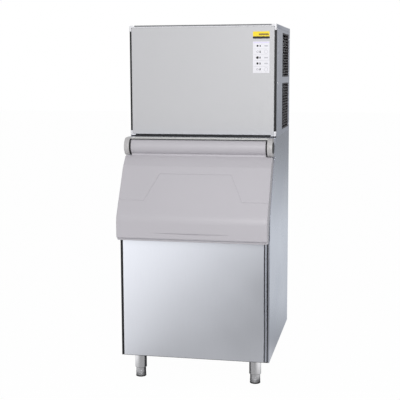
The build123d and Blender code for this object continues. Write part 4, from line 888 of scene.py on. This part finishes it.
class ICEMACHINE_OT_foot_pads(bpy.types.Operator):
    """Add each foot's dark rubber rim, its turned rings and the seal over it."""
    bl_idname = "ice_machine.foot_pads"
    bl_label = "Foot pads, rings and seals"

    def execute(self, context):
        hardware = context.scene.ice_machine_hardware
        height = hardware.pad_height
        for node in ("foot_fl", "foot_fr", "foot_bl", "foot_br"):
            low, high = box_of(node)
            radius = (high.x - low.x) / 2
            centre = Vector(((low.x + high.x) / 2, (low.y + high.y) / 2, low.z + height / 2))
            pad = open_piece(node + "_pad")
            add_ring(pad, centre, radius + 1.2 * MM, radius - 2 * MM, height)
            finish_piece(pad, BODIES[node], "pad_rubber", 0.9 * MM, 3)
            self.add_grip(hardware, node, centre, radius)
            self.add_collar(node, centre, radius)
        return {"FINISHED"}

    def add_grip(self, hardware, node, centre, radius):
        """Turned rings low on the foot, to grip it by."""
        grip = open_piece(node + "_grip")
        for step in range(hardware.ring_count):
            place = centre + Vector((0, 0, 8 * MM + hardware.ring_pitch * step))
            add_ring(grip, place, radius + 0.9 * MM, radius - 1 * MM, hardware.ring_height)
        # Painted shade: the rings wear a darker copy of the leg steel
        finish_piece(grip, BODIES[node], "ring_steel_shaded", 0.5 * MM)

    def add_collar(self, node, centre, stem):
        """The dark seal between the leg's tube and the foot's stem."""
        low = box_of("legs")[0].z
        near = [math.hypot(vertex.co.x - centre.x, vertex.co.y - centre.y)
                for vertex in NODES["legs"].data.vertices if vertex.co.z - low < MERGE]
        tube = max(reach for reach in near if reach < stem * 2)
        collar = open_piece(node + "_seal")
        add_ring(collar, (centre.x, centre.y, low - 0.7 * MM), tube - 0.6 * MM, stem + 0.4 * MM, 1.4 * MM)
        finish_piece(collar, "cabinet", "pad_rubber")


def screw_master(name, radius, height):
    """A pan head screw with a cross recess, standing on the origin."""
    screw = open_piece(name)
    add_disc((0, 0, height / 2 - 0.1 * MM), radius, height, sides=24)
    pick(screw, "EDGE", lambda edge: all(vertex.co.z > height / 2 for vertex in edge.verts))
    bpy.ops.mesh.bevel(offset=height * 0.6, segments=4, affect="EDGES")
    close_piece(screw)
    arm = radius * 0.55
    half = radius * 0.14
    for label, x, y in (("_recess", arm, half), ("_recess_other", half, arm)):
        cutter = open_piece(name + label)
        add_block((-x, -y, height * 0.35), (x, y, height * 2))
        close_piece(cutter)
        hold(screw)
        cut = screw.modifiers.new("Recess", "BOOLEAN")
        cut.operation = "DIFFERENCE"
        cut.solver = "EXACT"
        cut.object = cutter
        bpy.ops.object.modifier_apply(modifier=cut.name)
        drop(cutter)
    smooth(screw)
    return screw


def edge_row(start, stop, count):
    """Places spread evenly from one point to another."""
    start = Vector(start)
    step = (Vector(stop) - start) / (count - 1)
    return [start + step * number for number in range(count)]


class ICEMACHINE_OT_screws(bpy.types.Operator):
    """Add the casing's screws: head sides, back panel and grille frames."""
    bl_idname = "ice_machine.screws"
    bl_label = "Screws"

    def execute(self, context):
        hardware = context.scene.ice_machine_hardware
        master = screw_master("screw_master", hardware.screw_radius, hardware.screw_height)
        places = self.side_places() + self.back_places()
        screws = copies(master, "casing_screws", places)
        place_on(screws, "cabinet", "plated_metal")
        drop(master)
        small = screw_master("small_screw_master", hardware.screw_radius * 0.6, hardware.screw_height * 0.8)
        grille_screws = copies(small, "grille_screws", self.grille_places())
        place_on(grille_screws, "cabinet", "black_paint")
        drop(small)
        return {"FINISHED"}

    def side_places(self):
        """Screws along the corner posts and the rear edges of both head sides."""
        low, high = box_of("head_side_right")
        post_low, post_high = box_of("head_posts")
        margin = 40 * MM
        found = []
        for side in (-1, 1):
            face = side * high.x
            for y in (post_high.y - 12 * MM, high.y - 14 * MM):
                rows = edge_row((face, y, low.z + margin), (face, y, high.z - margin), 3)
                found += [(place, (side, 0, 0)) for place in rows]
        return found

    def back_places(self):
        """Screws round the head's back panel and the bin's back panel."""
        found = []
        for node, rows in (("head_back", 3), ("bin_back", 5)):
            low, high = box_of(node)
            panel = box_of("bin_back")[1].y
            edge = 16 * MM
            for x in (low.x + edge, high.x - edge):
                column = edge_row((x, panel, low.z + edge * 2), (x, panel, high.z - edge * 2), rows)
                found += [(place, (0, 1, 0)) for place in column]
            for z in (low.z + edge, high.z - edge):
                found.append((Vector(((low.x + high.x) / 2, panel, z)), (0, 1, 0)))
        return found

    def grille_places(self):
        """Screws at the corners of both grille frames."""
        found = []
        edge = 3.6 * MM
        for node in ("grille_upper", "grille_lower"):
            low, high = box_of(node)
            for y in (low.y + edge, high.y - edge):
                for z in (low.z + edge, high.z - edge):
                    found.append((Vector((high.x, y, z)), (1, 0, 0)))
        return found


class ICEMACHINE_OT_gland(bpy.types.Operator):
    """Add the nut and the ribbed sleeve of the cable gland, and the inlet's thread."""
    bl_idname = "ice_machine.gland"
    bl_label = "Back fittings"

    def execute(self, context):
        panel = box_of("bin_back")[1].y
        centre, radius = rim_of("head_back", 1)
        hole = radius - 0.5 * MM
        gland = open_piece("gland_nut")
        add_ring(gland, (centre.x, panel + 3 * MM, centre.z), radius + 7 * MM, hole, 6 * MM, FLAT_BACK, 6)
        depth = (centre.y - panel - 7 * MM) / GLAND_RIBS
        for step in range(GLAND_RIBS):
            add_ring(gland, (centre.x, panel + 6 * MM + depth * (step + 0.5), centre.z),
                     radius + (1.6 - 0.3 * step) * MM, hole, depth * 0.8, FLAT_BACK, 32)
        finish_piece(gland, "cabinet", "black_plastic", 0.4 * MM)
        centre, radius = rim_of("inlet_valve", 1)
        thread = open_piece("inlet_thread")
        for step in range(THREAD_TURNS):
            add_ring(thread, (centre.x, centre.y - 2 * MM - THREAD_PITCH * step, centre.z),
                     radius + 0.5 * MM, radius - 0.5 * MM, THREAD_PITCH / 2, FLAT_BACK, 32)
        slot = SLOTS["inlet_valve"]
        finish_piece(thread, BODIES["inlet_valve"], slot, 0.3 * MM, 1)
        return {"FINISHED"}


class ICEMACHINE_OT_name_fields(bpy.types.Operator):
    """Add the black bar and the plain ochre bar on the yellow plate."""
    bl_idname = "ice_machine.name_fields"
    bl_label = "Yellow plate's fields"

    def execute(self, context):
        plates = context.scene.ice_machine_plates
        low, high = box_of("name_plate")
        front = low.y - plates.mark_thick
        bar = open_piece("name_plate_bar")
        add_plaque(bar, (low.x - MM, front, low.z - MM), (high.x + MM, low.y, low.z + plates.bar_height),
                   plates.bar_height * 0.4)
        finish_piece(bar, "cabinet", "print_black")
        left, right = (low.x + (high.x - low.x) * part for part in STRIPE_SPAN)
        bottom, top = (high.z - drop_by for drop_by in STRIPE_DROP)
        stripe = open_piece("name_plate_stripe")
        add_plaque(stripe, (left, front, bottom), (right, low.y, top), 3.2 * MM)
        finish_piece(stripe, "cabinet", "print_ochre")
        return {"FINISHED"}


class ICEMACHINE_OT_status_rows(bpy.types.Operator):
    """Add the plain marks, pills and rings of each row on the white plate."""
    bl_idname = "ice_machine.status_rows"
    bl_label = "White plate's rows"

    def execute(self, context):
        plates = context.scene.ice_machine_plates
        low, high = box_of("status_panel")
        rows = [high.z - plates.first_row - plates.row_pitch * row for row in range(plates.rows)]
        self.add_band(plates, low, high)
        self.add_marks(plates, low, rows)
        self.add_pills(plates, low, rows)
        self.add_rings(plates, low, rows)
        self.add_lines(plates, low, high, rows)
        return {"FINISHED"}

    def finish(self, piece, finish):
        """Place one kind of mark."""
        finish_piece(piece, "cabinet", finish)

    def add_band(self, plates, low, high):
        """The pale lilac band along the plate's top."""
        band = open_piece("status_band")
        add_plaque(band, (low.x + 2 * MM, low.y - plates.mark_thick, high.z - plates.band_height),
                   (high.x - 2 * MM, low.y, high.z - 2 * MM), 2 * MM)
        self.finish(band, "print_lilac")

    def add_marks(self, plates, low, rows):
        """The first mark of each row: a dark disc, or a grey ring where it is faint."""
        thick = plates.mark_thick
        dark = open_piece("status_discs")
        for number, radius in DISCS:
            if number < len(rows):
                add_disc((low.x + DISCS_X, low.y - thick / 2, rows[number]), radius, thick, FLAT_BACK, 28)
        self.finish(dark, "print_black")
        faint = open_piece("status_faint_rings")
        for number in RING_ROWS:
            if number < len(rows):
                add_ring(faint, (low.x + DISCS_X, low.y - thick / 2, rows[number]), 5.4 * MM, 3.8 * MM,
                         thick, FLAT_BACK, 28)
        self.finish(faint, "print_grey")

    def add_pills(self, plates, low, rows):
        """The second mark of each row: a small upright pill."""
        start, stop, half = PILL
        pills = open_piece("status_pills")
        for z in rows:
            add_plaque(pills, (low.x + start, low.y - plates.mark_thick, z - half),
                       (low.x + stop, low.y, z + half), 2.2 * MM)
        self.finish(pills, "print_black")

    def add_rings(self, plates, low, rows):
        """The last mark of each row: a pale ring or a pale bar."""
        thick = plates.mark_thick
        start, stop, half = BAR
        pale = open_piece("status_pale_marks")
        for number, z in enumerate(rows):
            if number in RING_ROWS:
                add_ring(pale, (low.x + RING_X, low.y - thick / 2, z), 9.5 * MM, 7.9 * MM, thick,
                         FLAT_BACK, 36)
            else:
                add_plaque(pale, (low.x + start, low.y - thick, z - half),
                           (low.x + stop, low.y, z + half), 3.0 * MM)
        self.finish(pale, "print_pale")

    def add_lines(self, plates, low, high, rows):
        """The thin lines between the rows."""
        lines = open_piece("status_lines")
        for z in rows[:-1]:
            middle = z - plates.row_pitch / 2
            add_plaque(lines, (low.x + LINE_MARGIN, low.y - plates.mark_thick, middle - 0.7 * MM),
                       (high.x - LINE_MARGIN, low.y, middle + 0.7 * MM), 0.6 * MM)
        self.finish(lines, "print_line")


class ICEMACHINE_OT_top_edge_painted_light(bpy.types.Operator):
    """Add painted light along the top of the head's front: a grey strip for the dark surround's top edge as
    lit from above, and a bright strip as a painted highlight on the panel's top edge.
    """
    bl_idname = "ice_machine.top_strip"
    bl_label = "Top edge painted light"

    def execute(self, context):
        panel_low, panel_high = box_of("front_panel")
        low, high = box_of("front_surround")
        left = panel_low.x + 6 * MM
        right = panel_high.x - 6 * MM
        # Painted light: the grey strip is the dark surround lit from above, the bright strip a painted
        # highlight on the panel's rounded top edge
        for name, reach, bottom, top, finish in (
                ("top_strip", 0.8 * MM, panel_high.z + 5 * MM, high.z - 0.6 * MM, "top_strip"),
                ("top_edge_highlight", 5 * MM, panel_high.z + 0.4 * MM, panel_high.z + 4.6 * MM, "corner_plastic")):
            piece = open_piece(name)
            add_plaque(piece, (left, low.y - reach, bottom), (right, low.y, top), 0.8 * MM)
            finish_piece(piece, "cabinet", finish)
        return {"FINISHED"}


class ICEMACHINE_PT_sidebar(bpy.types.Panel):
    """Lists every step in the 3D view's sidebar."""
    bl_idname = "ICEMACHINE_PT_sidebar"
    bl_label = "Ice machine"
    bl_space_type = "VIEW_3D"
    bl_region_type = "UI"
    bl_category = "Ice machine"

    def draw(self, context):
        layout = self.layout
        for step in STEPS:
            layout.operator(step.bl_idname)
        for name in SETTINGS:
            group = getattr(context.scene, name)
            for label in group.bl_rna.properties.keys():
                if label not in {"rna_type", "name"}:
                    layout.prop(group, label)


STEPS = (
    ICEMACHINE_OT_studio, ICEMACHINE_OT_bin, ICEMACHINE_OT_door, ICEMACHINE_OT_head,
    ICEMACHINE_OT_works, ICEMACHINE_OT_sheet_edges, ICEMACHINE_OT_roll_gap_shadow,
    ICEMACHINE_OT_shadow_strip, ICEMACHINE_OT_foot_pads, ICEMACHINE_OT_screws, ICEMACHINE_OT_gland,
    ICEMACHINE_OT_top_edge_painted_light, ICEMACHINE_OT_name_fields, ICEMACHINE_OT_status_rows,
)
SETTINGS = {
    "ice_machine_stage": IceMachineStage, "ice_machine_colours": IceMachineColours,
    "ice_machine_plates": IceMachinePlates, "ice_machine_hardware": IceMachineHardware,
}
CLASSES = (*SETTINGS.values(), *STEPS, ICEMACHINE_PT_sidebar)


def register():
    for cls in CLASSES:
        bpy.utils.register_class(cls)
    for name, group in SETTINGS.items():
        setattr(bpy.types.Scene, name, PointerProperty(type=group))


def unregister():
    for name in SETTINGS:
        delattr(bpy.types.Scene, name)
    for cls in reversed(CLASSES):
        bpy.utils.unregister_class(cls)


def main():
    register()
    make_materials(bpy.context.scene.ice_machine_colours)
    bpy.ops.ice_machine.studio()
    bpy.ops.ice_machine.bin()
    bpy.ops.ice_machine.door()
    bpy.ops.ice_machine.head()
    bpy.ops.ice_machine.works()
    bpy.ops.ice_machine.sheet_edges()
    bpy.ops.ice_machine.roll_washers()
    bpy.ops.ice_machine.wiper()
    bpy.ops.ice_machine.foot_pads()
    bpy.ops.ice_machine.screws()
    bpy.ops.ice_machine.gland()
    bpy.ops.ice_machine.top_strip()
    bpy.ops.ice_machine.name_fields()
    bpy.ops.ice_machine.status_rows()


if __name__ == "__main__":
    main()
